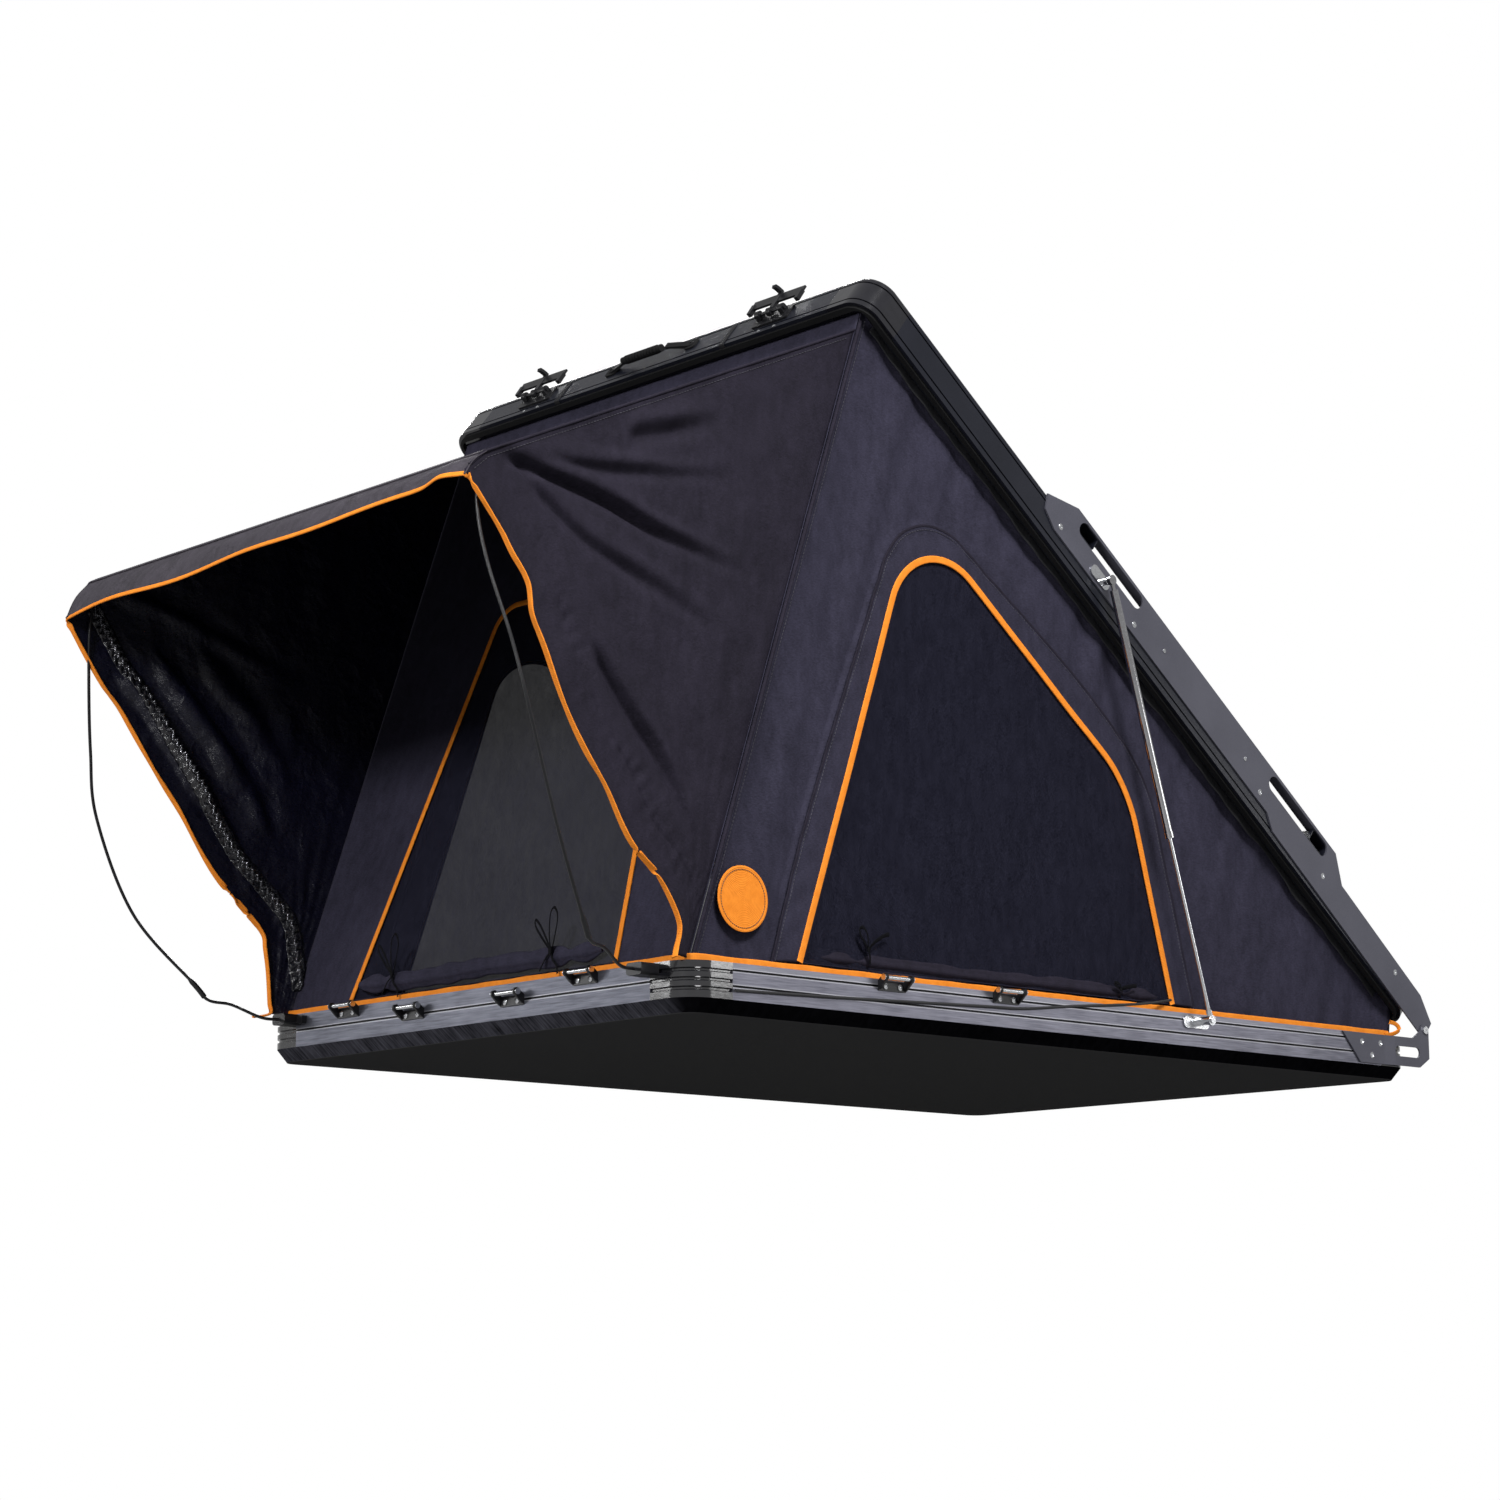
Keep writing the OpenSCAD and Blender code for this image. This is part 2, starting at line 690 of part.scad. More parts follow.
module side_plate(side) {
  flange_x0 = plate_front_x + plate_ramp;
  color("#3b3c42")
    opened() for_side(side) {
      across_y(half_width, half_width + plate_thickness) side_plate_outline();
      translate([flange_x0, half_width - flange_width, flange_z])
        cube([plate_tail_x - 60 - flange_x0, flange_width, plate_thickness]);
    }
}

module side_plate_left() { side_plate(1); }
module side_plate_right() { side_plate(-1); }

// Hollow cross bar between the side plates, hung under their flanges
module roof_bar(x) {
  corner = 6;
  length = shell_width;
  color("#1d1e22")
    opened()
      translate([x, -length / 2, flange_z - bar_tall / 2])
        rotate([-90, 0, 0])
          difference() {
            rounded_plate(bar_width, bar_tall, length, corner);
            translate([0, 0, -1])
              rounded_plate(
                bar_width - 2 * bar_wall, bar_tall - 2 * bar_wall, length + 2, corner - bar_wall);
          }
}

module roof_bar_front() { roof_bar(bar_front_x); }
module roof_bar_rear() { roof_bar(bar_rear_x); }

// Hinge plate on the base: flat on the rail, stepped outwards past the lid's plate to its ear
hinge_plate_front_x = hinge_x - 44 - hinge_plate_length;
hinge_step_x0 = hinge_x - 148;
hinge_step_x1 = hinge_x - 116;
hinge_plate_low = pan_height + 3;
hinge_plate_high = base_top - 1;

module hinge_plate_fixed() {
  polygon([
    [hinge_plate_front_x, hinge_plate_high],
    [hinge_plate_front_x + 62, hinge_plate_low],
    [hinge_step_x0, hinge_plate_low],
    [hinge_step_x0, hinge_plate_high]]);
}

module hinge_plate_ear() {
  window_z = (hinge_plate_low + hinge_plate_high) / 2;
  window_half = 34;
  window_x = hinge_x - 68;
  window_r = 12;
  difference() {
    union() {
      polygon([
        [hinge_step_x1, hinge_plate_low],
        [hinge_x - 22, hinge_plate_low],
        [hinge_x + hinge_ear_r, hinge_plate_low + 22],
        [hinge_x + hinge_ear_r, hinge_z],
        [hinge_x - hinge_ear_r, hinge_z],
        [hinge_x - 46, hinge_plate_high],
        [hinge_step_x1, hinge_plate_high]]);
      translate([hinge_x, hinge_z]) circle(hinge_ear_r);
    }
    translate([window_x, window_z]) square([2 * window_half, 2 * window_r], center = true);
    for (s = [-1, 1])
      translate([window_x + s * window_half, window_z]) circle(window_r);
    translate([hinge_x, hinge_z]) circle(hinge_pin_r);
  }
}

module hinge_plate(side) {
  step = plate_thickness + plate_gap;
  color("#45464c")
    for_side(side) translate([0, half_width, 0]) {
      across_y(0, plate_thickness) hinge_plate_fixed();
      across_y(step, step + plate_thickness) hinge_plate_ear();
      translate([0, 0, hinge_plate_low])
        linear_extrude(hinge_plate_high - hinge_plate_low)
          polygon([
            [hinge_step_x0, 0], [hinge_step_x1, step],
            [hinge_step_x1, step + plate_thickness], [hinge_step_x0, plate_thickness]]);
    }
}

module hinge_plate_left() { hinge_plate(1); }
module hinge_plate_right() { hinge_plate(-1); }

// Headed pins, fast in the base ears, with the lid plates turning on them
module hinge_pins() {
  reach = 2 * plate_thickness + plate_gap;
  head_r = 9;
  color("#b9bbc0")
    for (side = [1, -1])
      for_side(side) translate([hinge_x, half_width, hinge_z]) rotate([-90, 0, 0]) {
        translate([0, 0, -plate_gap]) cylinder(r = hinge_pin_r, h = reach + plate_gap);
        translate([0, 0, reach]) cylinder(r = head_r, h = 4);
        translate([0, 0, -5 - plate_gap]) cylinder(r = head_r, h = 5);
      }
}

// Screws on the outside faces of the side plates, and rivets under the latches on the lid's front strip
module lid_screws() {
  rivet_r = 4;
  rivet_spread = 24;
  front_x = plate_front_x + 0.38 * (upper_foot_front_x - plate_front_x);
  large = [front_x, slot_front_x + slot_length / 2 + 8, slot_rear_x - slot_length / 2 - 8,
    plate_tail_x - 64, half_length - 110];
  small = [slot_front_x + slot_length / 2 + 112, slot_rear_x - slot_length / 2 - 90];
  color("#a9abb0")
    opened()
      for (side = [1, -1])
        for_side(side) translate([0, half_width + plate_thickness, 0]) {
          for (x = large)
            translate([x, 0, lid_bottom + 54]) rotate([-90, 0, 0]) dome_screw(screw_r, screw_height);
          for (x = small)
            translate([x, 0, lid_top - 6]) rotate([-90, 0, 0]) dome_screw(0.7 * screw_r, screw_height);
        }
  color("#a9abb0")
    opened()
      for (y = [-latch_y, latch_y], s = [-1, 1])
        translate([-half_length, y + s * rivet_spread, lid_bottom + 0.5 * lid_grooves[0]]) rotate([0, -90, 0])
          rotate_extrude($fn = 20) intersection() {
            square([rivet_r, 2]);
            translate([0, 2 - 1.6 * rivet_r]) circle(1.6 * rivet_r);
          }
}

// Screws that hold the hinge plates and the tie brackets to the base
module base_screws() {
  upper_z = hinge_plate_high - 20;
  lower_z = hinge_plate_low + 18;
  color("#b4b6ba") {
    for (side = [1, -1])
      for_side(side) translate([0, half_width + plate_thickness, 0]) rotate([-90, 0, 0]) {
        translate([hinge_plate_front_x + 68, -upper_z, 0]) dome_screw(screw_r, screw_height);
        translate([hinge_step_x0 - 16, -upper_z, 0]) dome_screw(screw_r, screw_height);
        translate([hinge_plate_front_x + 104, -lower_z, 0]) dome_screw(screw_r, screw_height);
      }
    at_ties() tie_screws();
  }
}

// Gas struts

module strut_frame(side) {
  for_side(side)
    translate([strut_lower[0], strut_y, strut_lower[1]]) rotate([0, strut_lean, 0]) children();
}

// Pressure cylinder with the upper eye, open below for the rod
module strut_cylinder(side) {
  color("#c9cbd0")
    strut_frame(side) {
      difference() {
        union() {
          translate([0, 0, strut_length - cylinder_length])
            cylinder(r = cylinder_r, h = cylinder_length - 2 * eye_r);
          translate([0, 0, strut_length - cylinder_length - 6]) cylinder(r = cylinder_r + 1, h = 14);
          translate([0, 0, strut_length - 2 * eye_r - 1]) cylinder(r = eye_thickness / 2, h = eye_r + 4);
        }
        translate([0, 0, strut_length - cylinder_length - 7])
          cylinder(r = rod_r + rod_clearance, h = cylinder_length - 2 * eye_r - 3);
      }
      translate([0, eye_thickness / 2, strut_length])
        rotate([90, 0, 0]) cylinder(r = eye_r, h = eye_thickness);
    }
}

// Piston rod with the lower eye, which turns on the base stud
module strut_rod(side) {
  color("#d6d8dc")
    strut_frame(side)
      difference() {
        union() {
          cylinder(r = rod_r, h = strut_length - cylinder_length + rod_tail);
          translate([0, 0, eye_r - 1]) cylinder(r = 1.5 * rod_r, h = 13);
          translate([0, eye_thickness / 2, 0]) rotate([90, 0, 0]) cylinder(r = eye_r, h = eye_thickness);
        }
        rotate([90, 0, 0])
          cylinder(r = stud_r + rod_clearance, h = 2 * eye_thickness, center = true);
      }
}

// Upper bracket: rounded foot on the side plate, with a stud that ends against the eye
module strut_upper_bracket(side) {
  foot = 4;
  face = half_width + plate_thickness;
  reach = strut_offset - plate_thickness - eye_thickness / 2 - eye_gap;
  color("#c2c4c9")
    opened() for_side(side) translate([strut_upper_shut[0], face, strut_upper_shut[1]]) rotate([-90, 0, 0]) {
      translate([-upper_foot_shift, 0, 0]) rounded_plate(upper_foot_length, 26, foot, 12);
      cylinder(r = 9, h = reach - 5);
      cylinder(r = stud_r + 2, h = reach);
    }
}

// Lower bracket: oval foot on the base rail, with the stud through the rod's eye
module strut_lower_bracket(side) {
  foot = 4;
  reach = strut_offset + eye_thickness / 2 + eye_gap;
  color("#c2c4c9")
    for_side(side) translate([strut_lower[0], half_width, strut_lower[1]]) rotate([-90, 0, 0]) {
      translate([-16, 4, 0]) rounded_plate(84, 26, foot, 12.9);
      cylinder(r = eye_r - 2, h = strut_offset - eye_thickness / 2 - eye_gap);
      cylinder(r = stud_r, h = reach);
      translate([0, 0, reach]) cylinder(r = stud_r + 3, h = 3);
    }
}

module strut_cylinder_left() { strut_cylinder(1); }
module strut_cylinder_right() { strut_cylinder(-1); }
module strut_rod_left() { strut_rod(1); }
module strut_rod_right() { strut_rod(-1); }
module strut_upper_bracket_left() { strut_upper_bracket(1); }
module strut_upper_bracket_right() { strut_upper_bracket(-1); }
module strut_lower_bracket_left() { strut_lower_bracket(1); }
module strut_lower_bracket_right() { strut_lower_bracket(-1); }

// Lid front hardware

lug_y0 = 30;
lug_y1 = 42;

// Latch body: foot on the lid's front rail with two lugs and a chrome cross shaft
module latch_body(y) {
  foot = 5;
  lug = latch_standoff + 9;
  color("#141416")
    opened() translate([-half_length, y, latch_z]) {
      translate([0, 0, -3]) rotate([0, -90, 0]) rounded_plate(46, 112, foot, 8);
      for (s = [-1, 1])
        translate([0, s * (lug_y0 + lug_y1) / 2, 0])
          across_y(-(lug_y1 - lug_y0) / 2, (lug_y1 - lug_y0) / 2) {
            translate([-latch_standoff, 0]) circle(9);
            translate([-latch_standoff, -9]) square([latch_standoff, 18]);
          }
      translate([-latch_standoff, lug_y1 + 4, 0]) rotate([90, 0, 0])
        cylinder(r = latch_pin_r, h = 2 * lug_y1 + 8);
    }
}

// Lever: a plate across the lid with a leg at each end, and the curved hook for the tie bar
module latch_lever(y) {
  hub_r = 9;
  arm = 8;
  leg = 10;
  leg_depth = 15;
  hook_locked = 248;
  hook_sweep = 24;
  hook_steps = 8;
  rest_angle = hook_locked - latch_turn;
  inner = lever_reach - lever_width;
  bore = latch_pin_r + rod_clearance;
  function around(turn) = [cos(rest_angle + turn), sin(rest_angle + turn)];
  color("#111113")
    opened() translate([latch_x, y, latch_z]) {
      difference() {
        union() {
          across_y(-lever_length / 2, lever_length / 2)
            rotate(rest_angle) translate([inner, -lever_thickness / 2]) square([lever_width, lever_thickness]);
          for (s = [-1, 1])
            translate([0, s * (lever_length - leg) / 2, 0]) across_y(-leg / 2, leg / 2)
              rotate(rest_angle) translate([inner - leg_depth, -lever_thickness])
                square([leg_depth + lever_width / 2, 2 * lever_thickness]);
          across_y(-hook_width / 2, hook_width / 2) {
            circle(hub_r);
            rotate(rest_angle) translate([0, -arm / 2]) square([hook_inner_r + hook_thickness / 2, arm]);
          }
          across_y(-hook_width / 2, hook_width / 2)
            polygon([
              for (k = [0:hook_steps]) hook_inner_r * around(hook_sweep * k / hook_steps),
              for (k = [hook_steps:-1:0]) (hook_inner_r + hook_thickness) * around(hook_sweep * k / hook_steps)]);
        }
        rotate([90, 0, 0]) cylinder(r = bore, h = 2 * lug_y1, center = true);
      }
    }
}

module latch_body_left() { latch_body(latch_y); }
module latch_body_right() { latch_body(-latch_y); }
module latch_lever_left() { latch_lever(latch_y); }
module latch_lever_right() { latch_lever(-latch_y); }

// Carrying handle: two bolted tabs, strap arms and a ribbed grip
module lid_handle() {
  tab_y = 135;
  tab = 34;
  grip_half = 66;
  grip_r = 8.5;
  grip_out = 25;
  grip_drop = 14;
  ribs = 11;
  face = -half_length;
  level = lid_bottom + 46;
  color("#121214")
    opened() {
      for (s = [-1, 1]) {
        translate([face, s * tab_y, level]) rotate([0, -90, 0]) rounded_plate(30, tab, 4, 8);
        translate([face, s * tab_y, level]) rotate([0, -90, 0]) translate([0, 0, 4]) dome_screw(8, 4);
        translate([face, s * tab_y, level - 8])
          linear_extrude(16)
            polygon([[0, 6 * s], [-4, 6 * s], [4 - grip_out, s * (grip_half - tab_y)],
              [8 - grip_out, s * (grip_half - tab_y - 1)], [0, -12 * s]]);
      }
      translate([face - grip_out, 0, level - grip_drop]) rotate([90, 0, 0])
        rotate_extrude() {
          translate([0, -grip_half]) square([grip_r, 2 * grip_half]);
          for (i = [0:ribs - 1])
            translate([grip_r - 1, (i - (ribs - 1) / 2) * 10 - 3]) square([2.5, 6]);
        }
    }
}

// Webbing straps that pass round the lid's front lip
module lid_straps() {
  strap_w = 16;
  strap_t = 2;
  strap_left_y = 0.4286 * half_width;
  strap_right_y = -0.3743 * half_width;
  color("#0e0e10")
    opened()
      for (y = [strap_left_y, strap_right_y])
        translate([0, y, 0]) across_y(-strap_w / 2, strap_w / 2)
          translate([-half_length - strap_t, lid_bottom]) square([strap_t, lid_rail_height - 18]);
}

// Base front and side hardware

// Places a tie at each station, with its foot on z = 0 and the rail's length along X
module at_ties() {
  for (s = [-1, 1]) {
    translate([-half_length, s * front_tie_y, high_tie_z]) rotate([90, 0, -90]) children();
    translate([-half_length, s * inner_tie_y, low_tie_z]) rotate([90, 0, -90]) children();
  }
  for (side = [1, -1], x = side_tie_x)
    translate([-x, side * half_width, high_tie_z]) rotate([90, 0, side > 0 ? 180 : 0]) children();
}

tie_bar_rise = 6;

// Folded bracket: a foot below the bar and two ears that carry it
module tie_bracket() {
  half = tie_bar_length / 2;
  translate([0, -9, 0]) rounded_plate(tie_bar_length + 2 * ear_thickness, 20, foot_thickness, 3);
  for (s = [-1, 1])
    translate([s * (half + ear_thickness / 2), 0, 0]) rotate([0, -90, 0])
      translate([0, 0, -ear_thickness / 2]) linear_extrude(ear_thickness) {
        difference() {
          union() {
            translate([tie_standoff, tie_bar_rise]) circle(8);
            polygon([[0, -19], [0, 1], [tie_standoff - 5, tie_bar_rise + 6.2],
              [tie_standoff + 7.4, tie_bar_rise - 3], [tie_standoff - 8, -12]]);
          }
          translate([tie_standoff, tie_bar_rise]) circle(tie_bar_r);
        }
      }
}

module tie_bar() {
  reach = tie_bar_length / 2 + ear_thickness;
  translate([0, tie_bar_rise, tie_standoff]) rotate([0, 90, 0]) {
    cylinder(r = tie_bar_r, h = 2 * reach, center = true);
    for (s = [-1, 1])
      translate([0, 0, s * (reach + 1.5)]) cylinder(r = tie_bar_r + 2, h = 3, center = true);
  }
}

module tie_screws() {
  for (s = [-1, 1])
    translate([s * 20, -10, foot_thickness]) dome_screw(6, 4);
}

module tie_brackets() {
  color("#111113") at_ties() tie_bracket();
}

module tie_bars() {
  color("#c9cbd0") at_ties() tie_bar();
}

// Rod sockets: clamp blocks on the front rail, each with a bored mouth towards the rod
module rod_sockets() {
  mouth_r = spring_rod_r + 2;
  color("#131315")
    for (s = [-1, 1])
      translate([-half_length, s * socket_y, base_top - 14]) rotate([0, -90, 0]) {
        difference() {
          rounded_plate(socket_height, socket_width, socket_depth, 7);
          translate([0, 0, socket_depth - 6]) cylinder(r1 = 1, r2 = mouth_r - 2, h = 6.01);
        }
        translate([0, -s * (socket_width / 2 + 9), 0]) rounded_plate(socket_height - 6, 22, 12, 5);
      }
}

// Awning rod: spring rod with a crimped ferrule above its cranked end
module awning_rod(side) {
  steps = 4;
  route = smooth_curve(rod_route, steps);
  ferrule_from = 6 * steps - 2;
  ferrule_to = 7 * steps;
  radii = [for (i = [0:len(route) - 1]) i >= ferrule_from && i <= ferrule_to ? ferrule_r : spring_rod_r];
  color("#1a1a1c") for_side(side) swept_tube(route, radii, 8);
}

module awning_rod_left() { awning_rod(1); }
module awning_rod_right() { awning_rod(-1); }

// Guy cord that runs from the front of the right rail back to the window
module side_cord() {
  route = smooth_curve(cord_route, 5);
  color("#0d0d0f") for_side(-1) swept_tube(route, [for (p = route) cord_r], 8);
}

// Fabric

// Window outline in the side view: two slanted sides and a rounded head
function window_outline(inset) = rounded_outline([
  concat(on_window(-0.714, 0.015) + [inset, inset], 0),
  concat(on_window(-0.392, 0.7255) + [inset / 2, -1.5 * inset], window_r),
  concat(on_window(0.196, 0.3406) - [inset, inset], window_r),
  concat(on_window(0.2887, 0.015) + [-inset, inset], 0)]);

// Side wall from the base to the lid, with its window cut out
module side_wall(side) {
  color("#2c2a33")
    for_side(side)
      across_y(wall_y - cloth, wall_y)
        difference() {
          polygon([wall_foot, wall_head, rear_head, rear_foot]);
          polygon(window_outline(0));
        }
}

module window_mesh(side) {
  color([0.12, 0.12, 0.13, 0.75])
    for_side(side)
      across_y(wall_y - cloth + cloth_gap, wall_y - cloth_gap) polygon(window_outline(cloth_gap));
}

module side_wall_left() { side_wall(1); }
module side_wall_right() { side_wall(-1); }
module window_mesh_left() { window_mesh(1); }
module window_mesh_right() { window_mesh(-1); }

// Door outline on the front wall: (across, up the slope)
function up_slope(z) = (z - wall_foot[1]) / wall_slope[1];
function door_outline(inset) = rounded_outline([
  [-(door_foot_half - inset), up_slope(door_foot_z) + inset, 0],
  [-(door_head_half - inset), up_slope(door_head_z) - inset, door_corner_r],
  [door_head_half - inset, up_slope(door_head_z) - inset, door_corner_r],
  [door_foot_half - inset, up_slope(door_foot_z) + inset, 0]]);

// Lays a drawing of (across, up the slope) on the front wall
module on_front_slope(offset, thickness) {
  translate([wall_foot[0], 0, wall_foot[1]])
    rotate([0, wall_lean, 0])
      translate([offset, 0, 0]) rotate([90, 0, 90]) linear_extrude(thickness) children();
}

module front_wall() {
  half = wall_y - cloth - cloth_gap;
  color("#2c2a33")
    on_front_slope(0, cloth)
      difference() {
        polygon([[-half, 0], [half, 0], [half, wall_height - 6], [-half, wall_height - 6]]);
        polygon(door_outline(0));
      }
}

module door_mesh() {
  color([0.12, 0.12, 0.13, 0.75])
    on_front_slope(cloth_gap, cloth - 2 * cloth_gap) polygon(door_outline(cloth_gap));
}

// Low fabric strip that closes the rear between base and lid
module rear_wall() {
  half = wall_y - cloth - cloth_gap;
  color("#2c2a33")
    translate([rear_foot[0], 0, rear_foot[1]])
      rotate([0, rear_lean, 0])
        translate([-cloth, -half, 0]) cube([cloth, 2 * half, norm(rear_slope)]);
}

// Awning sheet: straight fall from root to ridge with a sag, then the leaning valance
function awning_line(s) =
  s < 0.86 ? awning_root + (awning_ridge - awning_root) * s / 0.86
           : awning_ridge + (awning_hem - awning_ridge) * (s - 0.86) / 0.14;
function awning_half(s) = awning_half_root + (awning_half_front - awning_half_root) * min(s / 0.86, 1);
function awning_dip(s, t) =
  awning_sag * sin(180 * min(s / 0.86, 1)) * (1 - t * t)
  + 5 * sin(180 * min(s / 0.86, 1)) * sin(540 * t + 200 * s) * (1 - pow(t, 4));
function awning_point(s, t, drop) =
  let (p = awning_line(s))
  [p[0], awning_half(s) * t, p[1] - awning_dip(s, t) - drop];

module awning_top() {
  cols = 19;
  stations = [0, 0.1, 0.22, 0.34, 0.46, 0.58, 0.7, 0.8, 0.86, 0.93, 1];
  color("#2a2831")
    cloth_solid(
      [for (s = stations) [for (j = [0:cols - 1]) awning_point(s, 2 * j / (cols - 1) - 1, 0)]],
      [for (s = stations) [for (j = [0:cols - 1]) awning_point(s, 2 * j / (cols - 1) - 1, cloth)]]);
}

// Gusset between the awning's edge, the free bound edge and the front wall, with folds that
// fan out from the ridge corner; u runs from the free edge to the wall, v from awning to base
function gusset_head(u) =
  u < 0.12 ? awning_hem + (awning_ridge - awning_hem) * u / 0.12
           : awning_ridge + (awning_root - awning_ridge) * (u - 0.12) / 0.88;
function gusset_wall(v) = awning_root + (gusset_heel - awning_root) * v;
function gusset_plane(u, v) =
  let (
    free = curve_at(gusset_edge, v),
    wall = gusset_wall(v),
    lift = gusset_head(u) - (awning_hem * (1 - u) + awning_root * u))
  free * (1 - u) + wall * u + lift * pow(1 - v, 3) - [0, (cloth + cloth_gap) * (1 - v)];
function gusset_y(u, v) =
  let (fan = atan2(v, u + 0.02))
  (awning_half_front - cloth) * (1 - u) + (awning_half_root - cloth) * u
  + gusset_fold * sin(9 * fan) * sin(180 * u) * sin(180 * min(v + 0.04, 1)) - 14 * v * (1 - u);

module awning_gusset(side) {
  rows = 18;
  cols = 16;
  function point(i, j, out) =
    let (u = i / (rows - 1), v = j / (cols - 1), p = gusset_plane(u, v))
    [p[0], gusset_y(u, v) + out, p[1]];
  color("#2c2a33")
    for_side(side)
      cloth_solid(
        [for (i = [0:rows - 1]) [for (j = [0:cols - 1]) point(i, j, cloth)]],
        [for (i = [0:rows - 1]) [for (j = [0:cols - 1]) point(i, j, 0)]]);
}

module awning_gusset_left() { awning_gusset(1); }
module awning_gusset_right() { awning_gusset(-1); }

base_pan();
floor_board();
mattress();
base_rail_front();
base_rail_rear();
base_rail_left();
base_rail_right();
base_corner_front_left();
base_corner_front_right();
base_corner_rear_left();
base_corner_rear_right();
lid_rail_front();
lid_rail_rear();
lid_rail_left();
lid_rail_right();
lid_corner_front_left();
lid_corner_front_right();
lid_corner_rear_left();
lid_corner_rear_right();
roof_panel();
lid_seal();
side_plate_left();
side_plate_right();
roof_bar_front();
roof_bar_rear();
hinge_plate_left();
hinge_plate_right();
hinge_pins();
lid_screws();
base_screws();
strut_cylinder_left();
strut_cylinder_right();
strut_rod_left();
strut_rod_right();
strut_upper_bracket_left();
strut_upper_bracket_right();
strut_lower_bracket_left();
strut_lower_bracket_right();
latch_body_left();
latch_body_right();
latch_lever_left();
latch_lever_right();
lid_handle();
lid_straps();
tie_brackets();
tie_bars();
rod_sockets();
awning_rod_left();
awning_rod_right();
side_cord();
side_wall_left();
side_wall_right();
window_mesh_left();
window_mesh_right();
front_wall();
door_mesh();
rear_wall();
awning_top();
awning_gusset_left();
awning_gusset_right();
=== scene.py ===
# %% [markdown]
# A hard-shell roof top tent, opened as a wedge. The shells, struts and latches come from the CAD
# frame and only need finishes here. The fabric is made new: walls, meshes, awning and its
# bindings are surfaces worked out with numpy, because cloth needs far more points than a solid.

# %% Load the frame
import json

import bpy
import numpy as np
from mathutils import Matrix, Vector


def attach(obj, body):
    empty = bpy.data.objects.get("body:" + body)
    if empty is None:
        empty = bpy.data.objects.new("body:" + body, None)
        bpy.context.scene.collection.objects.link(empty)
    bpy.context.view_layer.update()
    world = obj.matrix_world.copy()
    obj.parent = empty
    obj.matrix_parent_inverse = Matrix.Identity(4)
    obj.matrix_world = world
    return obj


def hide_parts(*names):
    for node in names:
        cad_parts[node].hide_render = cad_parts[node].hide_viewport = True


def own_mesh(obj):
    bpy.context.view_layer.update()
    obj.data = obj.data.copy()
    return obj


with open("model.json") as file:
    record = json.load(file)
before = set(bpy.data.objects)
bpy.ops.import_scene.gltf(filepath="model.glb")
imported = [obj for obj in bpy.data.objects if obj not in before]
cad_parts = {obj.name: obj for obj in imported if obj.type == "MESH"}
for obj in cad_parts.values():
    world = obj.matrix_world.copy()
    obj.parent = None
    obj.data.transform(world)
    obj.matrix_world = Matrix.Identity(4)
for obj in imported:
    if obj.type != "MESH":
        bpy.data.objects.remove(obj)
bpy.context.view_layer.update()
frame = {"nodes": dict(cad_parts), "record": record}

# %% [markdown]
# The photograph looks up at the tent from below, with a long lens. A camera fitted to the corners
# of both shells gives its place, its angles in radians and its focal length, so the render lines up
# with the photograph without any hand framing.

# %% Camera
CAMERA_PLACE = Vector((-5.2493, -5.4335, -0.7006))
CAMERA_AZIMUTH, CAMERA_RISE, CAMERA_ROLL = 0.7368, 0.1883, 0.0018
LENS_MM, SENSOR_MM, CLIP_END = 80.57, 36.0, 200.0

scene = bpy.context.scene
camera = bpy.data.objects.new("camera", bpy.data.cameras.new("camera"))
scene.collection.objects.link(camera)
look = Vector((np.sin(CAMERA_AZIMUTH) * np.cos(CAMERA_RISE),
               np.cos(CAMERA_AZIMUTH) * np.cos(CAMERA_RISE), np.sin(CAMERA_RISE)))
roll = Matrix.Rotation(CAMERA_ROLL, 3, look).to_quaternion()
camera.rotation_mode = "QUATERNION"
camera.location = CAMERA_PLACE
camera.rotation_quaternion = roll @ look.to_track_quat("-Z", "Y")
camera.data.sensor_width = SENSOR_MM
camera.data.lens = LENS_MM
camera.data.clip_end = CLIP_END
scene.camera = camera
print("camera at", [round(x, 3) for x in camera.location])

# %% [markdown]
# Shader maths reads best as plain expressions. Wire holds one output socket: adding, multiplying,
# subtracting and comparing wires adds Math nodes, and `node` adds any other node from its type, its
# settings and what goes into its sockets.


# %% Expressions for shaders
def operator(operation, reflected=False):
    """A method that adds a Math node of that operation, with its two sides swapped if reflected."""
    if reflected:
        return lambda self, other: self.maths(operation, other, self)
    return lambda self, other: self.maths(operation, self, other)


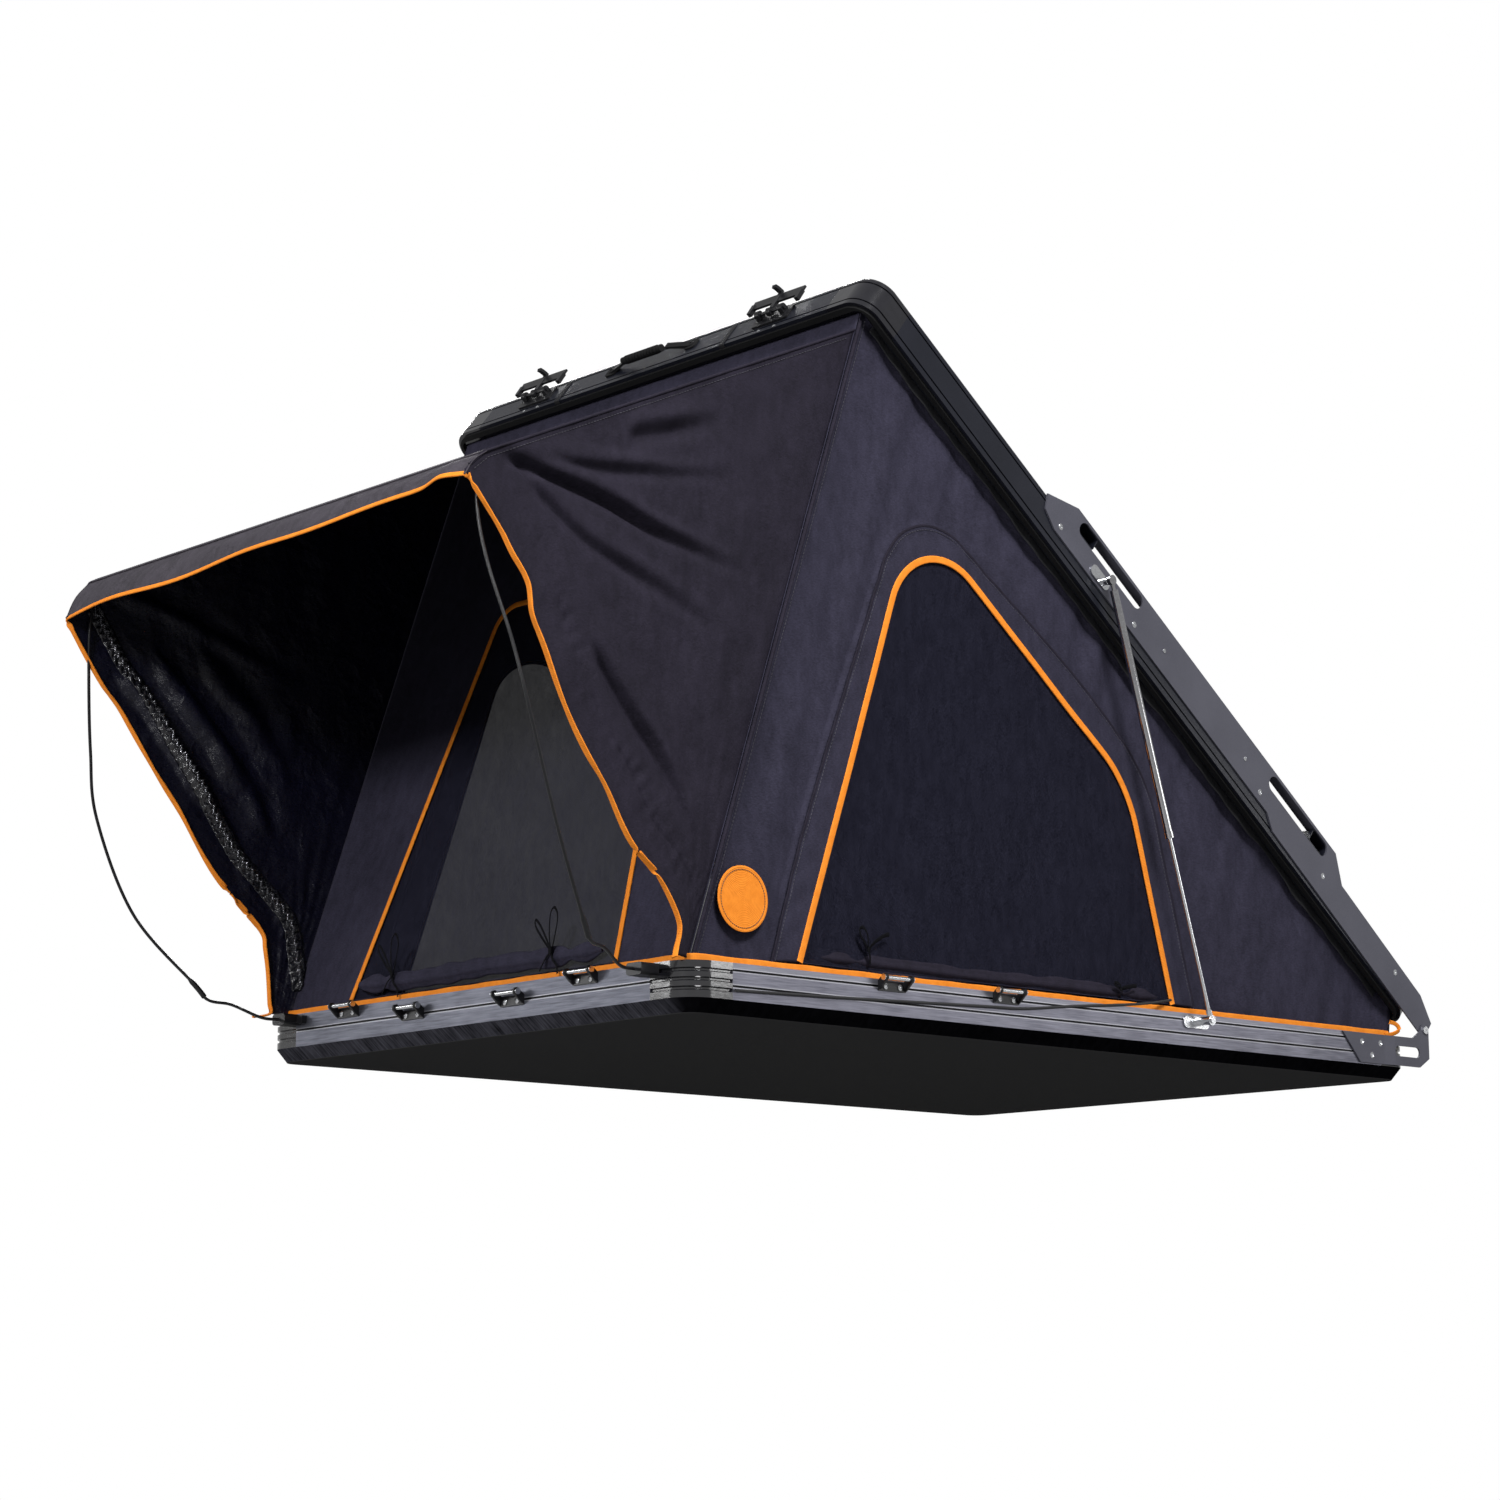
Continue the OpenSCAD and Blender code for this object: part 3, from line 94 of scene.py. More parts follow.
class Wire:
    """An output socket that can be used in sums, products and comparisons."""

    __add__, __radd__ = operator("ADD"), operator("ADD", True)
    __sub__, __rsub__ = operator("SUBTRACT"), operator("SUBTRACT", True)
    __mul__, __rmul__ = operator("MULTIPLY"), operator("MULTIPLY", True)
    __lt__, __gt__ = operator("LESS_THAN"), operator("GREATER_THAN")

    def __init__(self, tree, socket=None):
        self.tree, self.socket = tree, socket

    def __abs__(self):
        return self.maths("ABSOLUTE", self)

    def put(self, value, socket):
        """Links a wire to a socket, or sets the socket to a plain value."""
        if isinstance(value, Wire):
            self.tree.links.new(value.socket, socket)
        else:
            socket.default_value = value

    def node(self, kind, settings=None, inputs=None, out=0):
        """Adds a node: settings are set first, then each input gets a value or a link."""
        made = self.tree.nodes.new(kind)
        for key, value in (settings or {}).items():
            setattr(made, key, value)
        for key, value in (inputs or {}).items():
            self.put(value, made.inputs[key])
        return Wire(self.tree, made.outputs[out])

    def maths(self, operation, first, second=0.0):
        """A Math node of two values; some operations use only the first."""
        return self.node("ShaderNodeMath", {"operation": operation}, {0: first, 1: second})

    def axes(self, where):
        """The x, y and z of a vector, as three wires."""
        split = self.node("ShaderNodeSeparateXYZ", {}, {0: where})
        return [Wire(self.tree, output) for output in split.socket.node.outputs]

    def noise(self, where, scale, detail=2.0, stretch=(1, 1, 1)):
        """Soft noise at `where`, its features about 1 / scale metres wide, stretched per axis."""
        spread = self.node("ShaderNodeMapping", {}, {"Vector": where, "Scale": stretch})
        return self.node("ShaderNodeTexNoise", {}, {"Vector": spread, "Scale": scale, "Detail": detail})

    def blend(self, share, low, high):
        """A colour between two colours."""
        return self.node("ShaderNodeMix", {"data_type": "RGBA"}, {0: share, 6: low, 7: high}, out=2)

    def relief(self, height, strength):
        """A bump from a height in metres."""
        return self.node("ShaderNodeBump", {}, {"Height": height, "Strength": strength, "Distance": 1.0},
                         out="Normal")


def finish(name, build):
    """A material: `build` takes a Wire and the Object coordinates, and gives each socket's wire or value."""
    material = bpy.data.materials.new(name)
    material.use_nodes = True
    shader = next(n for n in material.node_tree.nodes if n.type == "BSDF_PRINCIPLED")
    wire = Wire(material.node_tree)
    for key, value in build(wire, wire.node("ShaderNodeTexCoord", out="Object")).items():
        wire.put(value, shader.inputs[key])
    return material


print("shader expressions ready")

# %% [markdown]
# The cloth is a coated canvas: a fine weave that only shows close up, slubs a few millimetres long
# that break up the colour, and soft crumples in the relief. Each canvas differs in colour, gloss
# and how crumpled it is: the awning's inside is coated and shiny, its outside is dull.


# %% Canvas finishes
TURN = 6.283
THREADS_PER_M, CONTRAST = 620.0, 2.4
CRUMPLE_HEIGHT, THREAD_HEIGHT, SLUB_HEIGHT = 0.016, 0.00012, 0.0007


def canvas(name, tone, rough, gloss, crumple, crumple_scale, sharp=0.0):
    """Woven cloth of one tone: crossed threads and slubs in the colour, and crumples in the relief.

    `sharp` moves the crumples from soft waves to creases: noise folded over at its middle value.
    """
    dark, light = [0.50 * c for c in tone], [1.50 * c for c in tone]

    def build(w, place):
        x, y, z = w.axes(place)
        warp = w.maths("SINE", (x + y * 0.7) * (THREADS_PER_M * TURN))
        weft = w.maths("SINE", (z + y * 0.4) * (THREADS_PER_M * TURN))
        slub = w.noise(place, 150.0, 3.0, (1.0, 1.0, 2.6))
        mottle = w.noise(place, 46.0, 3.0, (1.0, 1.0, 0.5))
        patch = w.noise(place, 6.0, 4.0)
        wave = w.noise(place, crumple_scale, 5.0, (1.0, 1.0, 1.0 - 0.4 * (sharp == 0)))
        fold = wave * (1 - sharp) - abs(wave * 2.0 - 1.0) * sharp
        tint = (slub * 0.45 + mottle * 0.3 + patch * 0.25 - 0.5) * CONTRAST + 0.5
        height = fold * (CRUMPLE_HEIGHT * crumple) + (warp + weft) * THREAD_HEIGHT + slub * SLUB_HEIGHT
        return {"Base Color": w.blend(tint, (*dark, 1), (*light, 1)), "Specular IOR Level": gloss,
                "Roughness": rough - 0.12 + slub * 0.24, "Normal": w.relief(height, 0.8)}
    return finish(name, build)


wall_canvas = canvas("wall_canvas", (0.030, 0.028, 0.046), 0.80, 0.08, 1.2, 5.0)
awning_canvas = canvas("awning_canvas", (0.017, 0.0145, 0.024), 0.74, 0.10, 1.5, 5.0, 0.3)
roof_canvas = canvas("roof_canvas", (0.013, 0.0120, 0.0165), 0.76, 0.06, 1.5, 5.0, 0.3)
coated_canvas = canvas("coated_canvas", (0.0036, 0.0036, 0.0115), 0.30, 0.28, 1.3, 9.0, 0.6)
zip_cloth = canvas("zip_cloth", (0.006, 0.006, 0.010), 0.20, 0.80, 0.6, 45.0, 0.6)
# The awning's lining is coated cloth painted near-black, darker than the gussets' coated lining, as a painted
# shade for the awning's inside.
awning_lining = canvas("awning_lining", (0.0012, 0.0012, 0.0016), 0.70, 0.02, 1.6, 6.0, 0.5)
valance_canvas = canvas("valance_canvas", (0.050, 0.045, 0.055), 0.72, 0.15, 2.2, 9.0, 0.35)
mattress_cloth = canvas("mattress_cloth", (0.050, 0.050, 0.056), 0.8, 0.1, 0.4, 8.0)
black_webbing = canvas("black_webbing", (0.010, 0.010, 0.012), 0.62, 0.25, 0.2, 30.0)
tie_tape = canvas("tie_tape", (0.0022, 0.0022, 0.0034), 0.66, 0.08, 0.2, 30.0)
print("canvas finishes:", [m.name for m in bpy.data.materials if "canvas" in m.name])

# %% [markdown]
# The meshes are insect netting. From a few metres the holes can't be told apart, so the netting
# is a thin dark sheet that lets part of the light through, a little unevenly. The binding is ribbed
# tape, whose ribs follow its UV map, and the cord is a tight braid.


# %% Netting, binding and cord finishes
def build_netting(w, place):
    """Dark threads: fine and broad noise in the colour, and a cloudy share of light let through."""
    fine, broad = w.noise(place, 330.0, 3.0), w.noise(place, 60.0, 2.0, (1, 1, 0.4))
    grain = (fine * 0.7 + broad * 0.3 - 0.5) * 2.6 + 0.5
    return {"Base Color": w.blend(grain, (0.006, 0.006, 0.012, 1), (0.019, 0.019, 0.033, 1)),
            "Alpha": 0.77 + grain * 0.10 + w.noise(place, 5.0) * 0.06,
            "Roughness": 0.85, "Specular IOR Level": 0.05}


def build_binding(w, place):
    """Orange tape: a sine rib across its length, and worn patches that pale it."""
    along = w.axes(w.node("ShaderNodeTexCoord", out="UV"))[0]
    rib, worn = w.maths("SINE", along * 1900.0), w.noise(place, 60.0, 3.0)
    return {"Base Color": w.blend(worn, (0.70, 0.190, 0.014, 1), (0.97, 0.315, 0.034, 1)),
            "Roughness": 0.58 + worn * 0.2, "Specular IOR Level": 0.12,
            "Normal": w.relief(rib * 0.0003 + worn * 0.0006, 0.6)}


def build_cord(w, place):
    """Black braid: one fine noise moves colour, roughness and relief."""
    braid = w.noise(place, 420.0, 1.0)
    return {"Base Color": w.blend(braid, (0.006, 0.006, 0.007, 1), (0.022, 0.022, 0.024, 1)),
            "Roughness": 0.5 + braid * 0.3, "Normal": w.relief(braid * 0.0012, 0.8)}


netting = finish("netting", build_netting)
orange_binding = finish("orange_binding", build_binding)
cord_braid = finish("cord_braid", build_cord)
print("trim finishes made")

# %% [markdown]
# Metal and plastic differ in their grain. An extrusion has fine lines along its length, powder
# coat has a pebbled skin, moulded plastic is smooth with faint haze, and polished steel carries
# thin rubbing marks. All of these are in colour, roughness and a shallow bump.


# %% Hard finishes
GROOVE_HALF, LIP = 0.0021, 0.0022
UNDERSIDE_Z, SLOPE_X, CORNER_Y = 0.0012, -1.0885, 0.668
# The groove colour is a painted shade inside the rails' grooves; the pale colour is a painted highlight on
# their lips and upper faces.
PAINTED_GROOVE_SHADE, PAINTED_HIGHLIGHT = (0.004, 0.004, 0.005, 1), (0.62, 0.62, 0.66, 1)


def hard(name, dark, light, metal, rough, spread, grain_scale, stretch, relief, gloss=0.5, coat=0.0,
         grooves=(), under=None, scuffed=None, contrast=1.8, lit_above=None):
    """A rigid surface: grain of that scale and stretch moves colour, roughness and relief together.

    `grooves` are heights of shadow grooves, painted dark inside as a painted shade and painted bright
    along their lips as a painted highlight. `under` is the tone of the face that points down, and
    `scuffed` that of the front slope, brushed in slanting streaks that fade out at the right corner.
    `contrast` sets how far the grain moves the colour, and above the height `lit_above` the metal is
    painted brighter, a painted highlight on its upper face.
    """
    def build(w, place):
        x, y, height = w.axes(place)
        grain, haze = w.noise(place, grain_scale, 4.0, stretch), w.noise(place, 9.0, 3.0)
        colour = w.blend((grain * 0.6 + haze * 0.4 - 0.5) * contrast + 0.5, (*dark, 1), (*light, 1))
        if lit_above:
            # Painted highlight: above that height the metal is painted brighter.
            colour = w.blend((height > lit_above) * 0.10, colour, PAINTED_HIGHLIGHT)
        # Painted highlight along each groove's lips, and painted shade inside the groove.
        for level in grooves:
            off = abs(height - level)
            colour = w.blend((off < GROOVE_HALF + LIP) * 0.35, colour, PAINTED_HIGHLIGHT)
            colour = w.blend(off < GROOVE_HALF, colour, PAINTED_GROOVE_SHADE)
        if under:
            colour = w.blend(height < UNDERSIDE_Z, colour, (*under, 1))
        if scuffed:
            fade = w.maths("MINIMUM", w.maths("MAXIMUM", (y + CORNER_Y) * 20.0), 1.0)
            slant = w.node("ShaderNodeMapping", {}, {"Vector": place, "Rotation": (0.45, 0, 0)})
            streak = w.noise(slant, 190.0, 4.0, (0.1, 1.0, 0.05)) * 0.6 + w.noise(place, 22.0, 3.0) * 0.4
            front = (x < SLOPE_X) * fade * (height > UNDERSIDE_Z)
            colour = w.blend(front * ((streak - 0.5) * 3.0 + 0.6), colour, (*scuffed, 1))
        return {"Base Color": colour, "Metallic": metal, "Specular IOR Level": gloss,
                "Coat Weight": coat, "Coat Roughness": 0.12, "Normal": w.relief(grain * relief, 0.5),
                "Roughness": rough - spread / 2 + (grain * 0.5 + haze * 0.5) * spread}
    return finish(name, build)


BRUSHED_X, BRUSHED_Y, EVEN = (0.05, 1, 1), (1, 0.05, 1), (1, 1, 1)
STREAKED_Z, PLY_GRAIN = (1, 1, 0.06), (0.08, 1, 1)
# The long rails carry painted shade in their grooves and painted highlights on the groove lips and upper
# faces.
rail_long = hard("rail_long", (0.10, 0.10, 0.125), (0.22, 0.22, 0.265), 0.8, 0.36, 0.2, 300,
                 BRUSHED_X, 0.0006, grooves=(0.0543, 0.0848), contrast=3.4, lit_above=0.0848)
# The cross rails are the same extrusion as the long rails, painted darker as a painted shade on the front and
# rear.
rail_cross = hard("rail_cross", (0.070, 0.073, 0.092), (0.160, 0.165, 0.200), 0.8, 0.42, 0.2, 300,
                  BRUSHED_Y, 0.0006, grooves=(0.0635,), contrast=3.4)
lid_coat = hard("lid_coat", (0.005, 0.006, 0.010), (0.014, 0.015, 0.023), 0.1, 0.30, 0.14, 700,
                EVEN, 0.0005, 0.30)
roof_coat = hard("roof_coat", (0.014, 0.015, 0.018), (0.030, 0.031, 0.036), 0.1, 0.55, 0.2, 420,
                 EVEN, 0.0012, 0.3)
plate_coat = hard("plate_coat", (0.055, 0.055, 0.072), (0.105, 0.105, 0.130), 0.3, 0.46, 0.16, 900,
                  EVEN, 0.0004, 0.3)
moulded_black = hard("moulded_black", (0.003, 0.003, 0.005), (0.009, 0.009, 0.013), 0.0, 0.14, 0.10,
                     60, EVEN, 0.0003, 0.5, 0.4)
rib_black = hard("rib_black", (0.002, 0.002, 0.003), (0.007, 0.007, 0.010), 0.0, 0.12, 0.08, 60,
                 EVEN, 0.0003, 0.9, 0.9)
zip_black = hard("zip_black", (0.030, 0.030, 0.036), (0.160, 0.160, 0.175), 0.8, 0.18, 0.14, 500,
                 EVEN, 0.0004, 0.5)
satin_black = hard("satin_black", (0.004, 0.004, 0.005), (0.013, 0.013, 0.015), 0.1, 0.34, 0.16, 300,
                   EVEN, 0.0004, 0.35)
tray_black = hard("tray_black", (0.0006, 0.0006, 0.0009), (0.0060, 0.0060, 0.0075), 0.0, 0.66, 0.2, 70,
                  STREAKED_Z, 0.0016, 0.0, under=(0.044, 0.044, 0.045), scuffed=(0.060, 0.060, 0.074))
bright_steel = hard("bright_steel", (0.50, 0.51, 0.53), (0.78, 0.79, 0.81), 1.0, 0.20, 0.16, 240,
                    EVEN, 0.0002)
strut_steel = hard("strut_steel", (0.34, 0.34, 0.35), (0.56, 0.56, 0.58), 1.0, 0.11, 0.08, 240,
                   EVEN, 0.0001)
seal_rubber = hard("seal_rubber", (0.004, 0.004, 0.004), (0.011, 0.011, 0.012), 0.0, 0.72, 0.16, 260,
                   EVEN, 0.0008, 0.15)
ply_board = hard("ply_board", (0.20, 0.13, 0.07), (0.36, 0.25, 0.15), 0.0, 0.6, 0.2, 40,
                 PLY_GRAIN, 0.0006)
print("hard finishes made")

# %% [markdown]
# Each CAD node keeps its mesh and gets the finish of its material slot. A few nodes take one of
# their own: the cross rails are brushed the other way and painted darker than the long rails as a
# painted shade, the corner ribs are glossier than the lid's corners, and the struts' tubes are darker
# than the other steel.

# %% Finishes of the CAD nodes
FINISH_OF_SLOT = {
    "black_tray": tray_black, "lid_black": lid_coat, "corner_black": moulded_black,
    "roof_black": roof_coat, "plate_grey": plate_coat, "seal_rubber": seal_rubber,
    "board_wood": ply_board, "mattress_fabric": mattress_cloth, "bright_steel": bright_steel,
    "black_steel": satin_black, "handle_rubber": seal_rubber, "webbing": black_webbing,
    "tent_fabric": wall_canvas, "mesh": netting, "socket_black": satin_black, "rail_grey": rail_long}
FINISH_OF_NODE = {"base_rail_front": rail_cross, "base_rail_rear": rail_cross,
                  "base_corner": rib_black, "strut_cylinder": strut_steel}
slot_of = {part["node"]: part["material_slot"] for part in frame["record"]["subparts"]}
for node, shape in frame["nodes"].items():
    own = [made for start, made in FINISH_OF_NODE.items() if node.startswith(start)]
    shape.data.materials.clear()
    shape.data.materials.append(own[0] if own else FINISH_OF_SLOT[slot_of[node]])
print("finishes given to", len(frame["nodes"]), "CAD nodes")

# %% [markdown]
# Every cloth is a grid of points. `surface` turns a grid into a mesh: whole arrays are worked out at
# once, the faces come from shifted index grids, and the UV map holds metres along rows and columns,
# so that a pattern can follow the cloth.


# %% Meshes from grids
def between(start, end, share):
    """What lies that share of the way from start to end."""
    return start + (end - start) * share


def capped(value):
    """The value kept between 0 and 1."""
    return np.clip(value, 0, 1)


def bell(off, width):
    """A smooth bump: 1 where off is 0, falling to 1 / e at that width."""
    return np.exp(-(off / width) ** 2)


def rounded(value, power):
    """A sine-like value pushed towards a square: its sign times its size to a power."""
    return np.sign(value) * np.abs(value) ** power


def grid_points(x, y, z):
    """Points from their x, y and z, each an array or a number, spread to one shape."""
    return np.stack(np.broadcast_arrays(x, y, z), -1)


def distance_along(path):
    """How far each point of a path lies from its start."""
    return np.cumsum(np.r_[0, np.linalg.norm(np.diff(path, axis=0), axis=1)])


def piece(name, points, faces, material, uv=None):
    """A mesh object at the origin, smooth shaded, with an optional UV place for each point."""
    mesh = bpy.data.meshes.new(name)
    mesh.from_pydata(points.tolist(), [], faces)
    mesh.polygons.foreach_set("use_smooth", np.ones(len(mesh.polygons), bool))
    if uv is not None:
        corner = np.empty(len(mesh.loops), np.int32)
        mesh.loops.foreach_get("vertex_index", corner)
        mesh.uv_layers.new(name="cut").data.foreach_set("uv", uv[corner].astype(np.float32).ravel())
    mesh.materials.append(material)
    mesh.update()
    made = bpy.data.objects.new(name, mesh)
    scene.collection.objects.link(made)
    return made


def grid_faces(rows, cols, close_cols=False):
    """Quads between neighbouring points of a grid, whose columns may close on themselves."""
    index = np.arange(rows * cols).reshape(rows, cols)
    if close_cols:
        index = np.hstack([index, index[:, :1]])
    return np.stack([index[:-1, :-1], index[1:, :-1], index[1:, 1:], index[:-1, 1:]], -1).reshape(-1, 4)


def surface(name, points, material, flip=False, close_cols=False):
    """A sheet from a (rows, cols, 3) grid, with UV in metres along its rows and columns."""
    rows, cols = points.shape[:2]
    along, across = distance_along(points[:, cols // 2]), distance_along(points[rows // 2])
    uv = np.stack(np.meshgrid(along, across, indexing="ij"), -1).reshape(-1, 2)
    faces = grid_faces(rows, cols, close_cols)
    return piece(name, points.reshape(-1, 3), (faces[:, ::-1] if flip else faces).tolist(), material, uv)


print("grid helpers ready")

# %% [markdown]
# Bindings, welts, rods and cords are a profile carried along a path. `smooth` draws a curve through a
# few measured points, `evenly` spaces it, and `carry` takes the profile along it.


# %% Profiles along paths
def unit(vectors):
    """The vectors at a length of 1."""
    return vectors / np.linalg.norm(vectors, axis=-1, keepdims=True)


def smooth(points, per_span):
    """Catmull-Rom curve through the points, with per_span steps between neighbours."""
    p = np.asarray(points, float)
    a, b, c, d = np.vstack([p[:1], p[:-2]]), p[:-1], p[1:], np.vstack([p[2:], p[-1:]])
    t = (np.arange(per_span) / per_span)[None, :, None]
    a, b, c, d = (k[:, None] for k in (a, b, c, d))
    square, cube = 2 * a - 5 * b + 4 * c - d, 3 * b - a - 3 * c + d
    curve = 0.5 * (2 * b + (c - a) * t + square * t**2 + cube * t**3)
    return np.vstack([curve.reshape(-1, p.shape[1]), p[-1:]])


def evenly(points, count):
    """The same path with `count` points at equal distances."""
    far = distance_along(points)
    want = np.linspace(0, far[-1], count)
    return np.stack([np.interp(want, far, points[:, k]) for k in range(points.shape[1])], -1)


def axes_along(path, reference):
    """Unit vectors at each point of a path: along it, to its side, and out towards the reference."""
    step = unit(np.gradient(path, axis=0))
    side = unit(np.cross(step, np.broadcast_to(np.asarray(reference, float), path.shape)))
    return step, side, np.cross(side, step)


def carry(name, path, profile, reference, material, size=None):
    """A closed profile of (side, out) carried along a path and capped; out points along the reference."""
    _, side, out = axes_along(path, reference)
    scale = 1.0 if size is None else size[:, None, None]
    offset = side[:, None] * profile[None, :, :1] + out[:, None] * profile[None, :, 1:]
    ring = path[:, None] + offset * scale
    rows, cols = ring.shape[:2]
    first, last = np.arange(cols), np.arange((rows - 1) * cols, rows * cols)
    caps = np.vstack([np.stack([np.roll(first, -1), first, np.full(cols, rows * cols)], -1),
                      np.stack([last, np.roll(last, -1), np.full(cols, rows * cols + 1)], -1)])
    uv = np.stack([np.repeat(distance_along(path), cols), np.tile(np.linspace(0, 1, cols), rows)], -1)
    points = np.vstack([ring.reshape(-1, 3), path[:1], path[-1:]])
    faces = grid_faces(rows, cols, True).tolist() + caps.tolist()
    return piece(name, points, faces, material, np.vstack([uv, uv[:1], uv[-1:]]))


def ring_of(radius, sides=10):
    """A round profile."""
    turn = np.linspace(0, 2 * np.pi, sides, endpoint=False)
    return np.stack([radius * np.cos(turn), radius * np.sin(turn)], -1)


def band_of(width, thick, sides=16):
    """A flat ribbon profile with rounded edges: a squared-off oval."""
    turn = np.linspace(0, 2 * np.pi, sides, endpoint=False)
    return np.stack([width / 2 * rounded(np.cos(turn), 0.5), thick / 2 * rounded(np.sin(turn), 0.5)], -1)


print("path helpers ready")

# %% [markdown]
# Folds are sums of slanted waves with a fixed seed, so that each run gives the same cloth. Stitches
# are modelled, since they catch the light, but each is only a six-sided bar. Every sheet and trim is
# then attached to its body, and each sheet's cut size is printed.


# %% Folds, stitches and declarations
CLOTH_THICK, TAPE_THICK, SEAM_ALLOWANCE = 0.0012, 0.0008, 0.015


def crease(u, v, seed, waves=7, low=0.6, high=3.0):
    """Smooth folds from -1 to 1: a seeded sum of slanted sine waves over u and v."""
    rng = np.random.default_rng(seed)
    angle, count = rng.uniform(0, np.pi, waves), rng.uniform(low, high, waves)
    phase = rng.uniform(0, 6.28, waves)
    slants = zip(angle, count, phase)
    return sum(np.sin(TURN * n * (np.cos(a) * u + np.sin(a) * v) + p) for a, n, p in slants) / waves


def stitches(name, path, out, material, pitch=0.008, length=0.005, radius=0.0007):
    """A row of thread stitches: six-sided bars laid end to end along a path, lifted by `out`."""
    count = int(distance_along(path)[-1] / pitch)
    centre = evenly(path, count)
    step, side, over = axes_along(centre, out)
    ring = ring_of(radius, 6)
    bar = centre[:, None] + side[:, None] * ring[None, :, :1] + over[:, None] * ring[None, :, 1:]
    half = step[:, None] * length / 2
    points = np.stack([bar - half, bar + half], 1) + np.asarray(out, float)
    k = np.arange(6)
    quad = np.stack([k, (k + 1) % 6, 6 + (k + 1) % 6, 6 + k], -1)
    faces = (np.arange(count)[:, None, None] * 12 + quad[None]).reshape(-1, 4)
    return piece(name, points.reshape(-1, 3), faces.tolist(), material)


def thicken(made, thick=CLOTH_THICK, lining=None):
    """Gives a sheet its real thickness, inwards and outwards alike, with a lining on its inner side."""
    modifier = made.modifiers.new("thickness", "SOLIDIFY")
    modifier.thickness, modifier.offset = thick, 0.0
    if lining:
        made.data.materials.append(lining)
        modifier.material_offset = 1
    return made


def area_of(made):
    """The sheet's own area in square metres."""
    areas = np.empty(len(made.data.polygons), np.float32)
    made.data.polygons.foreach_get("area", areas)
    return float(areas.sum(dtype=float))


def cloth(made, body, rests_on, replaces=(), seams=0.0):
    """Attaches a sheet to its body, prints its cut size with seams, and hides the solids it stands for."""
    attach(made, body)
    cut = area_of(made) + seams * SEAM_ALLOWANCE
    if replaces:
        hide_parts(*replaces)
    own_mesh(made)
    print(made.name, round(cut, 3), "m2")


def trim(made, body, fold=None):
    """Attaches a small piece that goes with a sheet or a rail to its body, with a mesh of its own when a fold
    is given.
    """
    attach(made, body)
    if fold:
        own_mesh(made)


print("cloth helpers ready")

# %% [markdown]
# All the fabric hangs between two known lines: the base's top edge and the lid's lower edge, which
# is the shut lid turned about its hinge. These stations repeat the sizes of the CAD source.

# %% Stations shared by the fabric
SIDES = (("left", 1), ("right", -1))
HALF_LENGTH, WALL_Y = 1.112, 0.6655
BASE_TOP, LID_BOTTOM, LID_TOP = 0.099, 0.1055, 0.1905
HINGE = np.array([1.158, 0.119])
OPEN = np.radians(38.0)


def opened(x, z):
    """A place on the shut lid, turned to the open lid."""
    dx, dz = np.asarray(x, float) - HINGE[0], np.asarray(z, float) - HINGE[1]
    return np.stack([HINGE[0] + np.cos(OPEN) * dx + np.sin(OPEN) * dz,
                     HINGE[1] - np.sin(OPEN) * dx + np.cos(OPEN) * dz], -1)


WALL_FOOT, REAR_FOOT = np.array([-1.0800, 0.0985]), np.array([1.0770, 0.0985])
WALL_HEAD, REAR_HEAD = opened(-1.0817, 0.1175), opened(1.070, 0.1175)


def front_at(z):
    """Place on the leaning front wall at a height."""
    return between(WALL_FOOT[0], WALL_HEAD[0], (z - WALL_FOOT[1]) / (WALL_HEAD[1] - WALL_FOOT[1]))


def base_fold(keep, lift=0.0):
    """Settings for a soft piece that lies flat at the base's top edge once the lid is shut."""
    return dict(joint="lid_hinge", axis=(0, 0, 1), anchor=(0, 0, BASE_TOP + lift), keep=keep)


FOLD = base_fold(0.014)
print("front wall from", WALL_FOOT.round(3), "to", WALL_HEAD.round(3))

# %% [markdown]
# A side wall is one panel with an arched window cut out. The grid runs round the window: its inner
# loop is the window's edge and its outer loop is the panel's edge, so the folds and the seams
# follow the arch.

# %% Grid of a side wall
ARC_STEPS = 24
ARC_HALF = ARC_STEPS // 2


def corner_arc(before, corner, after, radius):
    """Round a corner of a polygon: points on the arc that touches both its sides."""
    before, corner, after = (np.asarray(p, float) for p in (before, corner, after))
    to_a, to_b = unit(before - corner), unit(after - corner)
    half = np.arccos(to_a @ to_b) / 2
    centre = corner + unit(to_a + to_b) * radius / np.sin(half)
    start = corner + to_a * radius / np.tan(half) - centre
    end = corner + to_b * radius / np.tan(half) - centre
    begin = np.arctan2(start[1], start[0])
    turn = (np.arctan2(end[1], end[0]) - begin + np.pi) % (2 * np.pi) - np.pi
    t = begin + turn * np.linspace(0, 1, ARC_STEPS)
    return centre + radius * np.stack([np.cos(t), np.sin(t)], -1)


def arch_sides(outline, first_round, second_round):
    """The four sides of an opening with two round upper corners, parted at the middle of each arc."""
    first, second = corner_arc(*outline[:3], first_round), corner_arc(*outline[1:], second_round)
    return [np.vstack([outline[0], first[:ARC_HALF]]),
            np.vstack([first[ARC_HALF - 1:], second[:ARC_HALF]]),
            np.vstack([second[ARC_HALF - 1:], outline[3]]), np.array([outline[3], outline[0]])]


def ring_between(inner_sides, outer_sides, counts, rows):
    """Grid from an inner loop to an outer loop, side by side, and each point's share of the way."""
    inner, outer = (np.vstack([evenly(s, n + 1)[:-1] for s, n in zip(sides, counts)])
                    for sides in (inner_sides, outer_sides))
    t = np.linspace(0, 1, rows)[:, None]
    return between(inner, outer, t[..., None]), np.broadcast_to(t, (rows, len(inner)))


